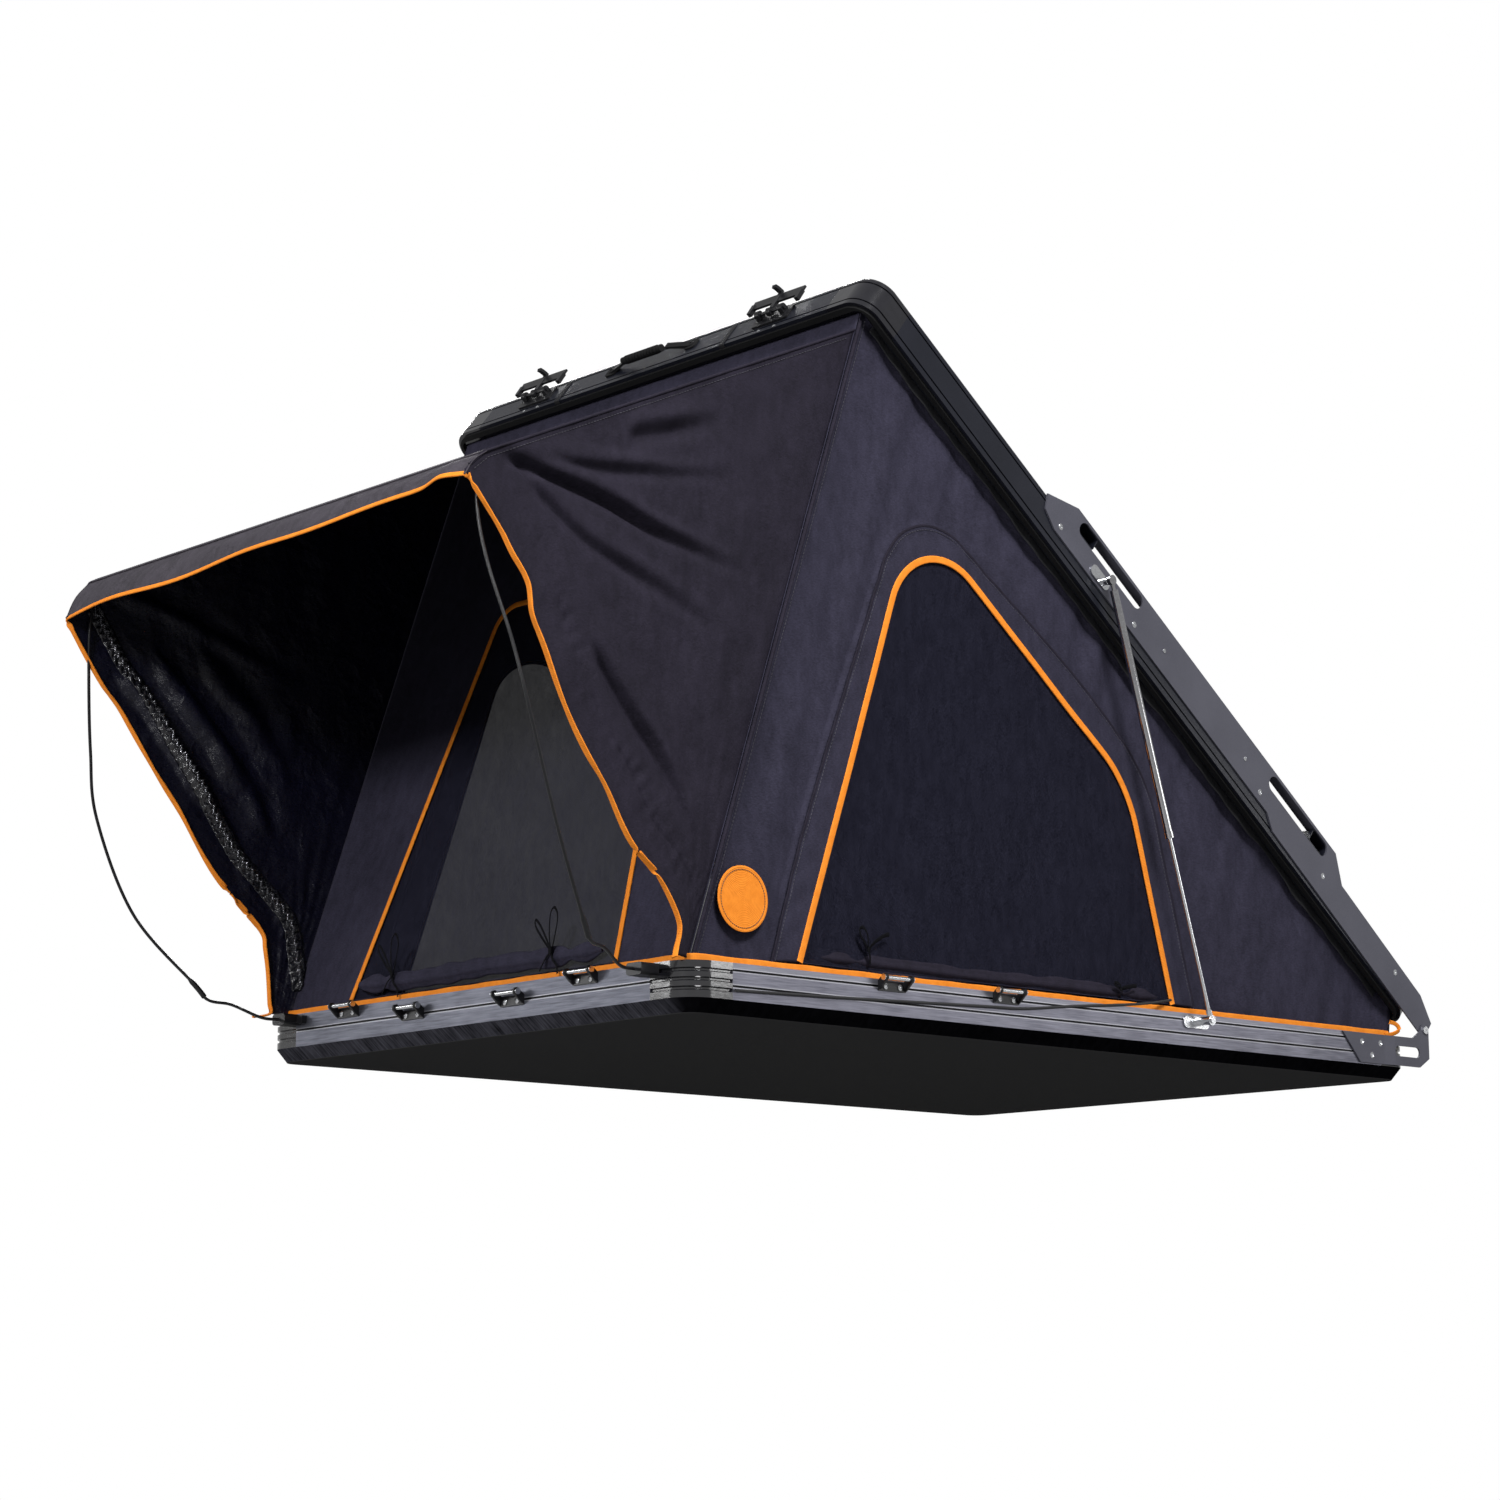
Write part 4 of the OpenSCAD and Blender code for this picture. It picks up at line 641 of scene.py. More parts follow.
WINDOW = [(-0.795, 0.120), (-0.460, 1.092), (0.182, 0.591), (0.313, 0.120)]
HEAD_ROUND, TAIL_ROUND = 0.147, 0.281
SIDE_COUNTS, WALL_ROWS = (150, 120, 110, 100), 70
window_sides = arch_sides(WINDOW, HEAD_ROUND, TAIL_ROUND)
top_mark = between(WALL_HEAD, REAR_HEAD, 0.62)
panel_sides = [np.array([WALL_FOOT, WALL_HEAD]), np.array([WALL_HEAD, top_mark]),
               np.array([top_mark, REAR_HEAD, REAR_FOOT]), np.array([REAR_FOOT, WALL_FOOT])]
wall_flat, wall_share = ring_between(window_sides, panel_sides, SIDE_COUNTS, WALL_ROWS)
print("side wall grid", wall_share.shape)

# %% [markdown]
# The wall's cloth pulls in a few millimetres between its edges. A hood band is sewn on round each
# window and lies over the wall, and its outer edge ripples a little.

# %% Side walls and hood bands
HOOD, HOOD_SLOPE, HELD_EDGE = 0.072, 0.012, 0.12
WALL_SEAMS = 8.8
LEAN = unit(WALL_HEAD - WALL_FOOT)
ACROSS_LEAN = np.array([LEAN[1], -LEAN[0]])


def wall_pull(flat, t, seed):
    """How far the wall draws in: a slope under the hood band, then folds that fade out at the edges.

    The folds run along the front seam: their waves are short across it and long along it.
    """
    x, z = flat[..., 0], flat[..., 1]
    away = np.linalg.norm(flat - flat[:1], axis=-1)
    past = capped((away - HOOD) / HOOD_SLOPE)
    past = past**2 * (3 - 2 * past)
    held = capped((1 - t) / HELD_EDGE) ** 0.7
    behind, up = (flat - WALL_FOOT) @ ACROSS_LEAN, (flat - WALL_FOOT) @ LEAN
    long_folds = 0.5 + 0.5 * crease(x * 1.2, z * 0.5, seed, 6, 0.6, 2.2)
    drawn = crease(behind * 3.4, up * 0.45, seed + 21, 9, 1.0, 4.0)
    fine = crease(x, z, seed + 5, 8, 3, 8)
    under = 0.009 * capped(away / HOOD)
    return held * (under + past * (0.010 * long_folds + 0.007 * drawn + 0.003 * fine))


reach = np.linalg.norm(wall_flat[-1] - wall_flat[0], axis=-1, keepdims=True)
arch = sum(SIDE_COUNTS[:3]) + 1
hem = between(wall_flat[0], wall_flat[-1], HOOD / reach)[:arch]
wide = np.linspace(0.02, 1, 14)[:, None]
band = between(wall_flat[0, :arch], hem, wide[..., None])
far = distance_along(hem)[None, :]
hood_line = {}
for (side, sign), seed in zip(SIDES, (11, 23)):
    wall_y = sign * (WALL_Y - wall_pull(wall_flat, wall_share, seed))
    wall_grid = grid_points(wall_flat[..., 0], wall_y, wall_flat[..., 1])
    wall = thicken(surface(f"side_wall_{side}_cloth", wall_grid, wall_canvas, sign > 0, close_cols=True))
    cloth(wall, "base", ["base_rail_" + side, "lid_rail_" + side],
          ["side_wall_" + side], seams=WALL_SEAMS)
    wave = crease(far * 5.0 + 0.3 * wide, wide * 0.5, seed + 31, 9, 0.6, 3.0)
    lift = 0.0006 + wide**1.5 * (0.0026 * wave - 0.0012) + 0.0010 * wave * np.sin(np.pi * wide)
    hood_grid = grid_points(band[..., 0], sign * (WALL_Y + lift), band[..., 1])
    hood = thicken(surface(f"window_hood_{side}", hood_grid, wall_canvas, sign > 0))
    cloth(hood, "base", [f"side_wall_{side}_cloth"])
    hood_line[side] = hood_grid[-1]

# %% [markdown]
# A narrow welt stiffens the outer edge of each hood band, with a row of stitches beside it, drawn in
# a little towards the window's middle.

# %% Hood welts and stitches
WINDOW_MIDDLE, STITCH_SHARE, STITCH_LIFT = np.array([-0.25, WALL_Y, 0.45]), 0.014, 0.0012
thread = canvas("thread", (0.060, 0.058, 0.070), 0.7, 0.2, 0.1, 40.0)
for side, sign in SIDES:
    line = hood_line[side]
    welt = carry(f"hood_welt_{side}", evenly(line, 420), band_of(0.006, 0.003), (0, sign, 0), awning_canvas)
    trim(welt, "base", FOLD)
    inner = between(line, WINDOW_MIDDLE * [1, sign, 1], STITCH_SHARE)
    trim(stitches(f"hood_stitches_{side}", inner, (0, sign * STITCH_LIFT, 0), thread), "base", FOLD)
print("hood welts", round(float(distance_along(hood_line["right"])[-1]), 2), "m each")

# %% [markdown]
# The window netting fills the arch: rows run up the window, each as wide as the window is there.
# It hangs a touch slack, so it dips inwards in the middle.

# %% Window netting
NET_ROWS, NET_GAP = 70, 0.0005
window_line = np.vstack(window_sides[:3])
peak = int(np.argmax(window_line[:, 1]))
rise = np.linspace(WINDOW[0][1], window_line[peak, 1] - NET_GAP, NET_ROWS)
front_edge = np.interp(rise, window_line[:peak + 1, 1], window_line[:peak + 1, 0])
back_edge = np.interp(rise, window_line[peak:, 1][::-1], window_line[peak:, 0][::-1])
across = np.linspace(0, 1, 60)[None, :]
net_x, net_z = between(front_edge[:, None], back_edge[:, None], across), rise[:, None]
slack = np.sin(np.pi * across) * np.sin(np.pi * np.linspace(0.02, 1, NET_ROWS))[:, None]
for (side, sign), seed in zip(SIDES, (31, 37)):
    dip = 0.003 + slack * (0.010 + 0.004 * crease(net_x, net_z, seed, 6, 1, 3))
    net_grid = grid_points(net_x, sign * (WALL_Y - dip), net_z)
    cloth(surface(f"window_net_{side}", net_grid, netting, sign < 0), "base",
          [f"side_wall_{side}_cloth"], ["window_mesh_" + side])

# %% [markdown]
# The front wall is made the same way round its door. It leans back with the lid, and its upper
# strip above the awning closes the gap to the lid.

# %% Front wall
DOOR_FOOT_Z, DOOR_HEAD_Z = 0.119, 1.004
DOOR_FOOT_HALF, DOOR_HEAD_HALF, DOOR_ROUND = 0.440, 0.312, 0.060
EDGE_Y = WALL_Y - 0.004
door = [(-DOOR_FOOT_HALF, DOOR_FOOT_Z), (-DOOR_HEAD_HALF, DOOR_HEAD_Z),
        (DOOR_HEAD_HALF, DOOR_HEAD_Z), (DOOR_FOOT_HALF, DOOR_FOOT_Z)]
door_sides = arch_sides(door, DOOR_ROUND, DOOR_ROUND)
face = [(-EDGE_Y, WALL_FOOT[1]), (-EDGE_Y, WALL_HEAD[1]), (EDGE_Y, WALL_HEAD[1]), (EDGE_Y, WALL_FOOT[1])]
face_sides = [np.array([face[k], face[(k + 1) % 4]]) for k in range(4)]
flat, t = ring_between(door_sides, face_sides, (110, 80, 110, 80), 36)
folds = 0.5 + 0.5 * crease(flat[..., 0], flat[..., 1], 41)
sink = np.sin(np.pi * t) ** 0.7 * (0.004 + 0.007 * folds)
front_grid = grid_points(front_at(flat[..., 1]) + sink, flat[..., 0], flat[..., 1])
cloth(thicken(surface("front_wall_cloth", front_grid, wall_canvas, True, close_cols=True)), "base",
      ["base_rail_front", "lid_rail_front"], ["front_wall"])

# %% [markdown]
# The door's netting is a plain grid between the door's two edges, a little slack. At the hinge end a
# low strip of wall closes the wedge.

# %% Door netting and rear wall
DOOR_ROWS = 60
door_line = np.vstack(door_sides[:3])
half = len(door_line) // 2
rise = np.linspace(DOOR_FOOT_Z, DOOR_HEAD_Z - NET_GAP, DOOR_ROWS)
left_edge = np.interp(rise, door_line[:half, 1], door_line[:half, 0])
across = np.linspace(-1, 1, 50)[None, :]
slack = (1 - across**2) * np.sin(np.pi * np.linspace(0.02, 1, DOOR_ROWS))[:, None]
net_x = front_at(rise)[:, None] + 0.004 + slack * 0.012
net_grid = grid_points(net_x, -left_edge[:, None] * across, rise[:, None])
cloth(surface("door_net", net_grid, netting, True), "base",
      ["front_wall_cloth"], ["door_mesh"])

rows, across = np.linspace(0, 1, 16)[:, None], np.linspace(-EDGE_Y, EDGE_Y, 120)[None, :]
slack = 0.006 * np.sin(np.pi * rows) * (1 + crease(across * 2, rows, 47, 6, 1, 4))
rear_line = between(REAR_FOOT, REAR_HEAD, rows)
rear_grid = grid_points(rear_line[:, :1] - slack, across, rear_line[:, 1:])
cloth(thicken(surface("rear_wall_cloth", rear_grid, wall_canvas, True)), "base",
      ["base_rail_rear", "lid_rail_rear"], ["rear_wall"])

# %% [markdown]
# The awning hangs from the front wall's head and reaches out to a ridge. These stations place its
# two ends and the hem of the valance below the ridge, and give the plane on which it lies flat
# once the lid is shut.

# %% Awning stations
ROOT_DROP, HEEL_Z, OFF_WALL = 0.050, 0.105, 0.0015
RIDGE = np.array([-1.600, 0.997])
ROOT_HALF, FRONT_HALF = 0.6600, 0.6930


def off_front(z):
    """A place just before the front wall at a height."""
    return np.array([front_at(z) - OFF_WALL, z])


ROOT, HEEL = off_front(WALL_HEAD[1] - ROOT_DROP), off_front(HEEL_Z)
panel_way = unit(RIDGE - ROOT)
PANEL_NORMAL = np.array([panel_way[1], -panel_way[0]])


def awning_fold(lift, keep):
    """Settings for cloth that lies flat on the awning's plane once the lid is shut."""
    anchor = RIDGE + PANEL_NORMAL * lift
    return dict(joint="lid_hinge", axis=(PANEL_NORMAL[0], 0, PANEL_NORMAL[1]),
                anchor=(anchor[0], 0, anchor[1]), keep=keep)


def hem_line(t):
    """The valance's lower edge across the awning, t from -1 at the right to 1 at the left."""
    z = 0.927 - 0.015 * t + 0.004 * np.sin(9 * t + 1.0) + 0.016 * bell(t + 0.93, 0.07)
    x = -1.657 + 0.006 * np.sin(7 * t) + 0.016 * bell(t + 0.97, 0.05)
    return x, z


ROOF_FOLD, GUSSET_FOLD = awning_fold(0.002, 0.10), awning_fold(0.004, 0.005)
print("awning panel", round(float(np.linalg.norm(RIDGE - ROOT)), 3), "m deep")

# %% [markdown]
# The awning's roof is one cloth that sags between its held edges, its inner side painted near-black
# as a painted shade. A lighter valance leans forward below the ridge and puffs out a little.

# %% Awning sheet and valance
s, t = np.linspace(0, 1, 90)[:, None], np.linspace(-1, 1, 150)[None, :]
sag = 0.026 * np.sin(np.pi * s) * (1 - t**2)
drawn = np.sin(np.pi * s) ** 0.8 * (1 - t**6)
ripple = drawn * (0.006 * crease(s * 0.8, t * 1.5, 53, 8, 0.6, 2.6) + 0.004 * np.sin(14 * t + 3 * s) * s)
top_x, top_z = between(ROOT[0], RIDGE[0], s), between(ROOT[1], RIDGE[1], s) - sag + ripple
top_grid = grid_points(top_x, between(ROOT_HALF, FRONT_HALF, s) * t, top_z)
cloth(thicken(surface("awning_cloth", top_grid, roof_canvas, True), lining=awning_lining), "awning",
      ["front_wall_cloth"], ["awning_top"])

s = np.linspace(0, 1, 26)[:, None]
hem_x, hem_z = hem_line(t)
puff = np.sin(np.pi * s) * (0.006 + 0.004 * crease(t * 2.2, s * 0.3, 59, 8, 1, 4))
val_x, val_z = between(RIDGE[0], hem_x, s) - puff, between(RIDGE[1], hem_z, s) + puff * 0.5
val_grid = grid_points(val_x, FRONT_HALF * t, val_z)
cloth(thicken(surface("awning_valance", val_grid, valance_canvas)), "awning",
      ["awning_cloth"])

# %% [markdown]
# The gussets close the awning's sides. Their folds fan out from the ridge corner, where the rod
# pushes the cloth tight, so the main ones are drawn as valleys along lines seen in the photograph
# and only the small ones come from waves.

# %% Gusset lines
FREE_EDGE = {
    "left": [(-1.657, 0.912), (-1.628, 0.867), (-1.568, 0.782), (-1.519, 0.730), (-1.453, 0.638),
             (-1.374, 0.538), (-1.322, 0.463), (-1.269, 0.394), (-1.223, 0.352), (-1.150, 0.285),
             (-1.140, 0.245), (-1.131, 0.190), (-1.124, 0.106)],
    "right": [(-1.648, 0.955), (-1.562, 0.860), (-1.533, 0.819), (-1.494, 0.768), (-1.482, 0.711),
              (-1.454, 0.658), (-1.413, 0.571), (-1.349, 0.470), (-1.295, 0.403), (-1.235, 0.310),
              (-1.163, 0.249), (-1.116, 0.180), (-1.112, 0.143), (-1.124, 0.106)]}
FOLDS = {
    "left": [
        ([(-1.540, 0.800), (-1.478, 0.773), (-1.380, 0.655), (-1.270, 0.535), (-1.180, 0.400)], 0.022, 0.022),
        ([(-1.450, 0.860), (-1.330, 0.745), (-1.200, 0.600), (-1.090, 0.420)], 0.020, 0.026),
        ([(-1.330, 0.860), (-1.180, 0.740), (-1.060, 0.560)], 0.011, 0.028),
        ([(-1.560, 0.990), (-1.400, 0.955), (-1.240, 0.900), (-1.050, 0.830)], 0.012, 0.022)],
    "right": [
        ([(-1.570, 1.000), (-1.444, 0.983), (-1.297, 0.957), (-1.146, 0.913), (-0.940, 0.880)], 0.026, 0.014),
        ([(-1.560, 1.004), (-1.372, 1.014), (-1.178, 1.033), (-0.980, 1.062)], 0.013, 0.014),
        ([(-1.510, 0.975), (-1.370, 0.880), (-1.221, 0.824), (-0.990, 0.745)], 0.014, 0.015),
        ([(-1.340, 0.676), (-1.233, 0.553), (-1.157, 0.471), (-1.050, 0.310)], 0.018, 0.014),
        ([(-1.250, 1.095), (-1.130, 1.130), (-1.000, 1.175)], 0.014, 0.018)]}


def fold_height(x, z, stations, depth, width):
    """A valley along stations (x, z), deepest on the line with a lip above it; it fades at both ends."""
    line = smooth(stations, 8)
    run, climb = line[-1] - line[0]
    off = (z - np.interp(x, line[:, 0], line[:, 1])) / np.hypot(1, climb / run)
    share = (x - line[0, 0]) / run
    fade = capped(share / 0.10) * capped((1 - share) / 0.5)
    return depth * fade * (0.75 * bell(off - 1.5 * width, 1.1 * width) - bell(off, width))


print("gusset folds", {side: len(lines) for side, lines in FOLDS.items()})

# %% [markdown]
# A gusset is a grid from its free edge to the wall. Each kind of fold is one term added to how far
# the cloth stands out: the valleys, small waves, puckers along the sewn line, a fan from the ridge
# and gathers along the two held edges.

# %% Gussets
GUSSET_COUNT, BEND, SEAM_IN = 190, 0.09, 0.070
SMALL_SEED = {"left": 67, "right": 71}
OUT_LIMIT, INSIDE = 0.686, 0.001


def gusset(side):
    """Side cloth of the awning, u from the free edge to the wall, v from the awning to the base.

    The free edge and the wall edge are joined straight across, then the upper edge is lifted to the
    awning's bent profile. Long folds run from the ridge corner, and a sewn line puckers the cloth at
    a fixed distance from the free edge. Returns the points and their distance from that edge.
    """
    free = evenly(smooth(FREE_EDGE[side], 12), GUSSET_COUNT)
    hem = free[0]
    u, v = np.linspace(0, 1, GUSSET_COUNT)[:, None], np.linspace(0, 1, GUSSET_COUNT)[None, :]
    flat = between(free[None], between(ROOT, HEEL, v[..., None]), u[..., None])
    head = np.where(u < BEND, between(hem, RIDGE, u / BEND), between(RIDGE, ROOT, (u - BEND) / (1 - BEND)))
    flat = flat + (head - between(hem, ROOT, u))[:, None] * (1 - v[..., None]) ** 3
    x, z = flat[..., 0], flat[..., 1]
    inset = np.sqrt(((flat[:, :, None] - free[None, None, ::3]) ** 2).sum(-1)).min(-1)
    hold = np.sqrt(np.sin(np.pi * capped(u * 0.98 + 0.02)) * np.sin(np.pi * capped(v * 0.95 + 0.05)))
    folds = sum(fold_height(x, z, *fold) for fold in FOLDS[side]) * capped(hold * 2.5)
    small = 0.006 * crease(u * 2, v * 2, SMALL_SEED[side], 12, 1.0, 4.5)
    pucker = 2.2 * crease(v * 24 + u * 3, inset * 9, 75, 16, 0.5, 1.6) * bell(inset - SEAM_IN, 0.030)
    sewn = (0.0034 * pucker - 0.003 * bell(inset - SEAM_IN, 0.005)) * np.sin(np.pi * v) ** 0.4
    turn, reach = np.arctan2(z - RIDGE[1], x - RIDGE[0]), np.hypot(x - RIDGE[0], z - RIDGE[1])
    fan = 0.006 * crease(turn * 4, reach * 0.8, 81, 12, 0.6, 2.2)
    fan = fan * capped(reach / 0.15) * np.exp(-reach / 0.5)
    top_gather = 0.010 * crease(u * 9, v * 6, 77, 14, 0.5, 1.8) * np.exp(-v / 0.06) * capped(v / 0.008)
    edge_gather = 0.004 * np.sin(34 * v + 4 * u) * np.exp(-u / 0.12) * np.sin(np.pi * v)
    out = between(FRONT_HALF, ROOT_HALF, u) - INSIDE
    out = out + folds + edge_gather + sewn + (small + top_gather + fan) * hold
    out = out - 0.7 * np.maximum(out - OUT_LIMIT, 0)
    return grid_points(x, out - 0.014 * v * (1 - u), z), inset


gusset_grid, gusset_inset = {}, {}
for side, sign in SIDES:
    grid, gusset_inset[side] = gusset(side)
    gusset_grid[side] = grid * [1, sign, 1]
    made = surface(f"awning_gusset_{side}_cloth", gusset_grid[side], awning_canvas, sign < 0)
    cloth(thicken(made, lining=coated_canvas), "awning",
          ["awning_cloth", "front_wall_cloth"], ["awning_gusset_" + side])

# %% [markdown]
# Every cut edge is bound in orange tape, which draws the tent's outline. A binding is a flat
# ribbon carried along the edge it covers, with small waves where the cloth is slack. The awning's
# tape runs on past the gussets' feet and ends loose.

# %% Bindings of the awning, windows and door
AWNING_TAPE, WINDOW_TAPE, DOOR_TAPE = (0.013, 0.0040), (0.015, 0.0036), (0.013, 0.0036)
ON_CLOTH, HEM_SHARE = 0.0012, 0.985
LOOSE_LEFT = [(-1.162, 0.683, 0.097), (-1.150, 0.683, 0.098), (-1.140, 0.683, 0.099), (-1.131, 0.682, 0.102)]
LOOSE_RIGHT = [(-1.128, -0.681, 0.101), (-1.133, -0.680, 0.097), (-1.139, -0.679, 0.093),
               (-1.145, -0.678, 0.090)]
span = np.linspace(HEM_SHARE, -HEM_SHARE, 120)
hem_x, hem_z = hem_line(span)
hem_path = grid_points(hem_x - 0.002, FRONT_HALF * span, hem_z)
free_left, free_right = gusset_grid["left"][0], gusset_grid["right"][0]
awning_edge = np.vstack([LOOSE_LEFT, free_left[::-1], hem_path, free_right, LOOSE_RIGHT])
awning_edge = evenly(smooth(awning_edge[::4], 4), 700) * [1, 0.997, 1]
tape = carry("awning_binding", awning_edge, band_of(*AWNING_TAPE), (-0.75, 0.0, 0.65), orange_binding)
trim(tape, "awning", GUSSET_FOLD)

line = evenly(window_line, 360)
wave = 0.0016 * crease(np.linspace(0, 6, 360), 0, 73, 6, 0.5, 2)
for side, sign in SIDES:
    path = grid_points(line[:, 0] + wave, sign * (WALL_Y + ON_CLOTH), line[:, 1] + wave)
    tape = carry(f"window_binding_{side}", path, band_of(*WINDOW_TAPE), (0, sign, 0), orange_binding)
    trim(tape, "base", FOLD)

line = evenly(door_line, 320)
path = grid_points(front_at(line[:, 1]) - ON_CLOTH, line[:, 0], line[:, 1])
trim(carry("door_binding", path, band_of(*DOOR_TAPE), (-0.95, 0, 0.31), orange_binding), "base", FOLD)
print("awning binding", round(float(distance_along(awning_edge)[-1]), 2), "m")

# %% [markdown]
# The base's binding stands on the rails round three sides of the tent. Its two ends curl up loose by
# the hinges.

# %% Binding of the base
RIM_X, RIM_Y, RIM_ROUND, RIM_Z = 1.064, 0.6725, 0.020, 0.1069
RIM_TAPE, TIP_TAPE = (0.0036, 0.0145), (0.0036, 0.0096)
TIP = [(1.050, 0.6730, 0.1045), (1.078, 0.6760, 0.1075), (1.098, 0.6800, 0.1180), (1.088, 0.6800, 0.1300),
       (1.068, 0.6770, 0.1345)]
quarter = np.linspace(0, np.pi / 2, 8)
near = np.stack([-RIM_X - RIM_ROUND * np.sin(quarter), RIM_ROUND * (1 - np.cos(quarter)) - RIM_Y], -1)
rim = evenly(np.vstack([[(RIM_X, -RIM_Y)], near, near[::-1] * [1, -1], [(RIM_X, RIM_Y)]]), 900)
waver = 0.0011 * crease(np.linspace(0, 60, 900), 0, 79, 6, 0.3, 1.2)
rim_path = grid_points(rim[:, 0], rim[:, 1], RIM_Z + waver)
rim_tape = carry("base_binding", rim_path, band_of(*RIM_TAPE), (0, 0, 1), orange_binding)
trim(rim_tape, "base", base_fold(0.26, 0.0005))
for side, sign in SIDES:
    tip = smooth(TIP, 8) * [1, sign, 1]
    loose = carry(f"base_binding_tip_{side}", tip, band_of(*TIP_TAPE), (0, 0.3 * sign, 1), orange_binding)
    trim(loose, "base", base_fold(0.006))
print("base binding", round(float(distance_along(rim_path)[-1]), 2), "m")

# %% [markdown]
# Seams hold the panels together. A welt runs down each front corner with a row of stitches beside
# it. Under the lid's side rails the spare cloth shows as a wavy edge.

# %% Corner welts and lid skirts
z = np.linspace(WALL_FOOT[1] + 0.006, WALL_HEAD[1] - 0.030, 160)
along, down = np.linspace(0, 1, 420)[:, None], np.linspace(0, 1, 8)[None, :]
top = between(WALL_HEAD, REAR_HEAD, 0.02 + 0.95 * along[..., None])
slope = unit(REAR_HEAD - WALL_HEAD)
drop = 0.030 + 0.008 * crease(along * 9, 0, 83, 7, 0.5, 2.0)
edge = top + np.array([slope[1], -slope[0]]) * (drop * down)[..., None]
wave = 0.0014 * down * (1 + np.sin(along * 150 + 4 * crease(along * 4, 0, 87, 5, 0.5, 2)))
for side, sign in SIDES:
    corner = grid_points(front_at(z) + 0.004, sign * (WALL_Y + 0.0005), z)
    trim(carry(f"corner_welt_{side}", corner, ring_of(0.0042), (0, sign, 0), awning_canvas), "base", FOLD)
    beside = corner + [0.012, -sign * 0.001, 0]
    trim(stitches(f"corner_stitches_{side}", beside, (0, sign * STITCH_LIFT, 0), thread), "base", FOLD)
    skirt_grid = grid_points(edge[..., 0], sign * (WALL_Y + ON_CLOTH + wave), edge[..., 1])
    skirt = thicken(surface(f"lid_skirt_{side}", skirt_grid, black_webbing, sign > 0), TAPE_THICK)
    cloth(skirt, "base", [f"side_wall_{side}_cloth"])

# %% [markdown]
# On the awning, a flat welt covers the ridge and a round one joins each gusset to the roof. Stitches
# run beside both.

# %% Awning welts
across = np.linspace(-HEM_SHARE, HEM_SHARE, 160)
ridge_line = grid_points(RIDGE[0] - 0.001, FRONT_HALF * across, RIDGE[1] + 0.0015)
welt = carry("ridge_welt", ridge_line, band_of(0.009, 0.003), (-0.6, 0, 0.8), valance_canvas)
trim(welt, "awning", ROOF_FOLD)
sewn = stitches("ridge_stitches", ridge_line + [0.012, 0, 0.006], (-0.0006, 0, 0.0016), thread)
trim(sewn, "awning", ROOF_FOLD)
for side, sign in SIDES:
    joined = gusset_grid[side][4:, 0] + [0, sign * 0.0008, 0.0006]
    welt = carry(f"gusset_welt_{side}", evenly(joined, 240), ring_of(0.0032), (0, sign, 0.4), awning_canvas)
    trim(welt, "awning", GUSSET_FOLD)
    sewn = stitches(f"gusset_stitches_{side}", gusset_grid[side][6:-4, 2], (0, sign * 0.0016, 0), thread)
    trim(sewn, "awning", GUSSET_FOLD)
print("awning welts made")

# %% [markdown]
# The awning zips off, so a zip runs down the inside of each gusset a hand's width behind its bound
# edge. The tape puckers along the chain, and the chain is a tube whose radius swells at each tooth.

# %% Gusset zips
ZIP_POINTS, ZIP_ROWS, TEETH, ZIP_HALF, CHAIN_R = 520, 9, 1400, 0.019, 0.0036


def line_at(side, inset):
    """The line on a gusset at a distance from its free edge, as even points."""
    grid, away = gusset_grid[side], gusset_inset[side]
    steps = np.arange(len(away))
    row = np.array([np.interp(inset, np.maximum.accumulate(column), steps) for column in away.T])[6:-8]
    low = np.clip(np.floor(row).astype(int), 0, len(away) - 2)
    column = steps[6:-8]
    return evenly(between(grid[low, column], grid[low + 1, column], (row - low)[:, None]), ZIP_POINTS)


far, across = np.linspace(0, 1, ZIP_POINTS)[:, None], np.linspace(-1, 1, ZIP_ROWS)[None, :]
phase = 2.2 * np.sign(across) + 4 * crease(far * 9, across * 0.4, 89, 6, 0.5, 2)
pucker = np.sin(far * 330 + phase) * (1.1 - across**2)
swell = 1 + 0.4 * np.sign(np.sin(np.arange(TEETH) * 1.6))
for side, sign in SIDES:
    strip = np.stack([line_at(side, SEAM_IN + reach * ZIP_HALF) for reach in across[0]], 1)
    strip = strip + grid_points(0, -sign * (0.0052 + 0.0034 * pucker), 0.003 * pucker)
    tape = thicken(surface(f"zip_tape_{side}", strip, zip_cloth, sign < 0), TAPE_THICK)
    teeth = evenly(strip[:, ZIP_ROWS // 2], TEETH) + [0, -sign * 0.0030, 0]
    chain = carry(f"zip_chain_{side}", teeth, ring_of(CHAIN_R, 6), (0.2, -sign, 0.1), zip_black, swell)
    for made in (tape, chain):
        trim(made, "awning", GUSSET_FOLD)
print("zips", round(float(distance_along(teeth)[-1]), 2), "m each")

# %% [markdown]
# The netting's weather flaps are rolled up at the foot of the door and the windows. A roll is a tall
# oval tube with lumps, which is enough because its turns can't be told apart from a step away.


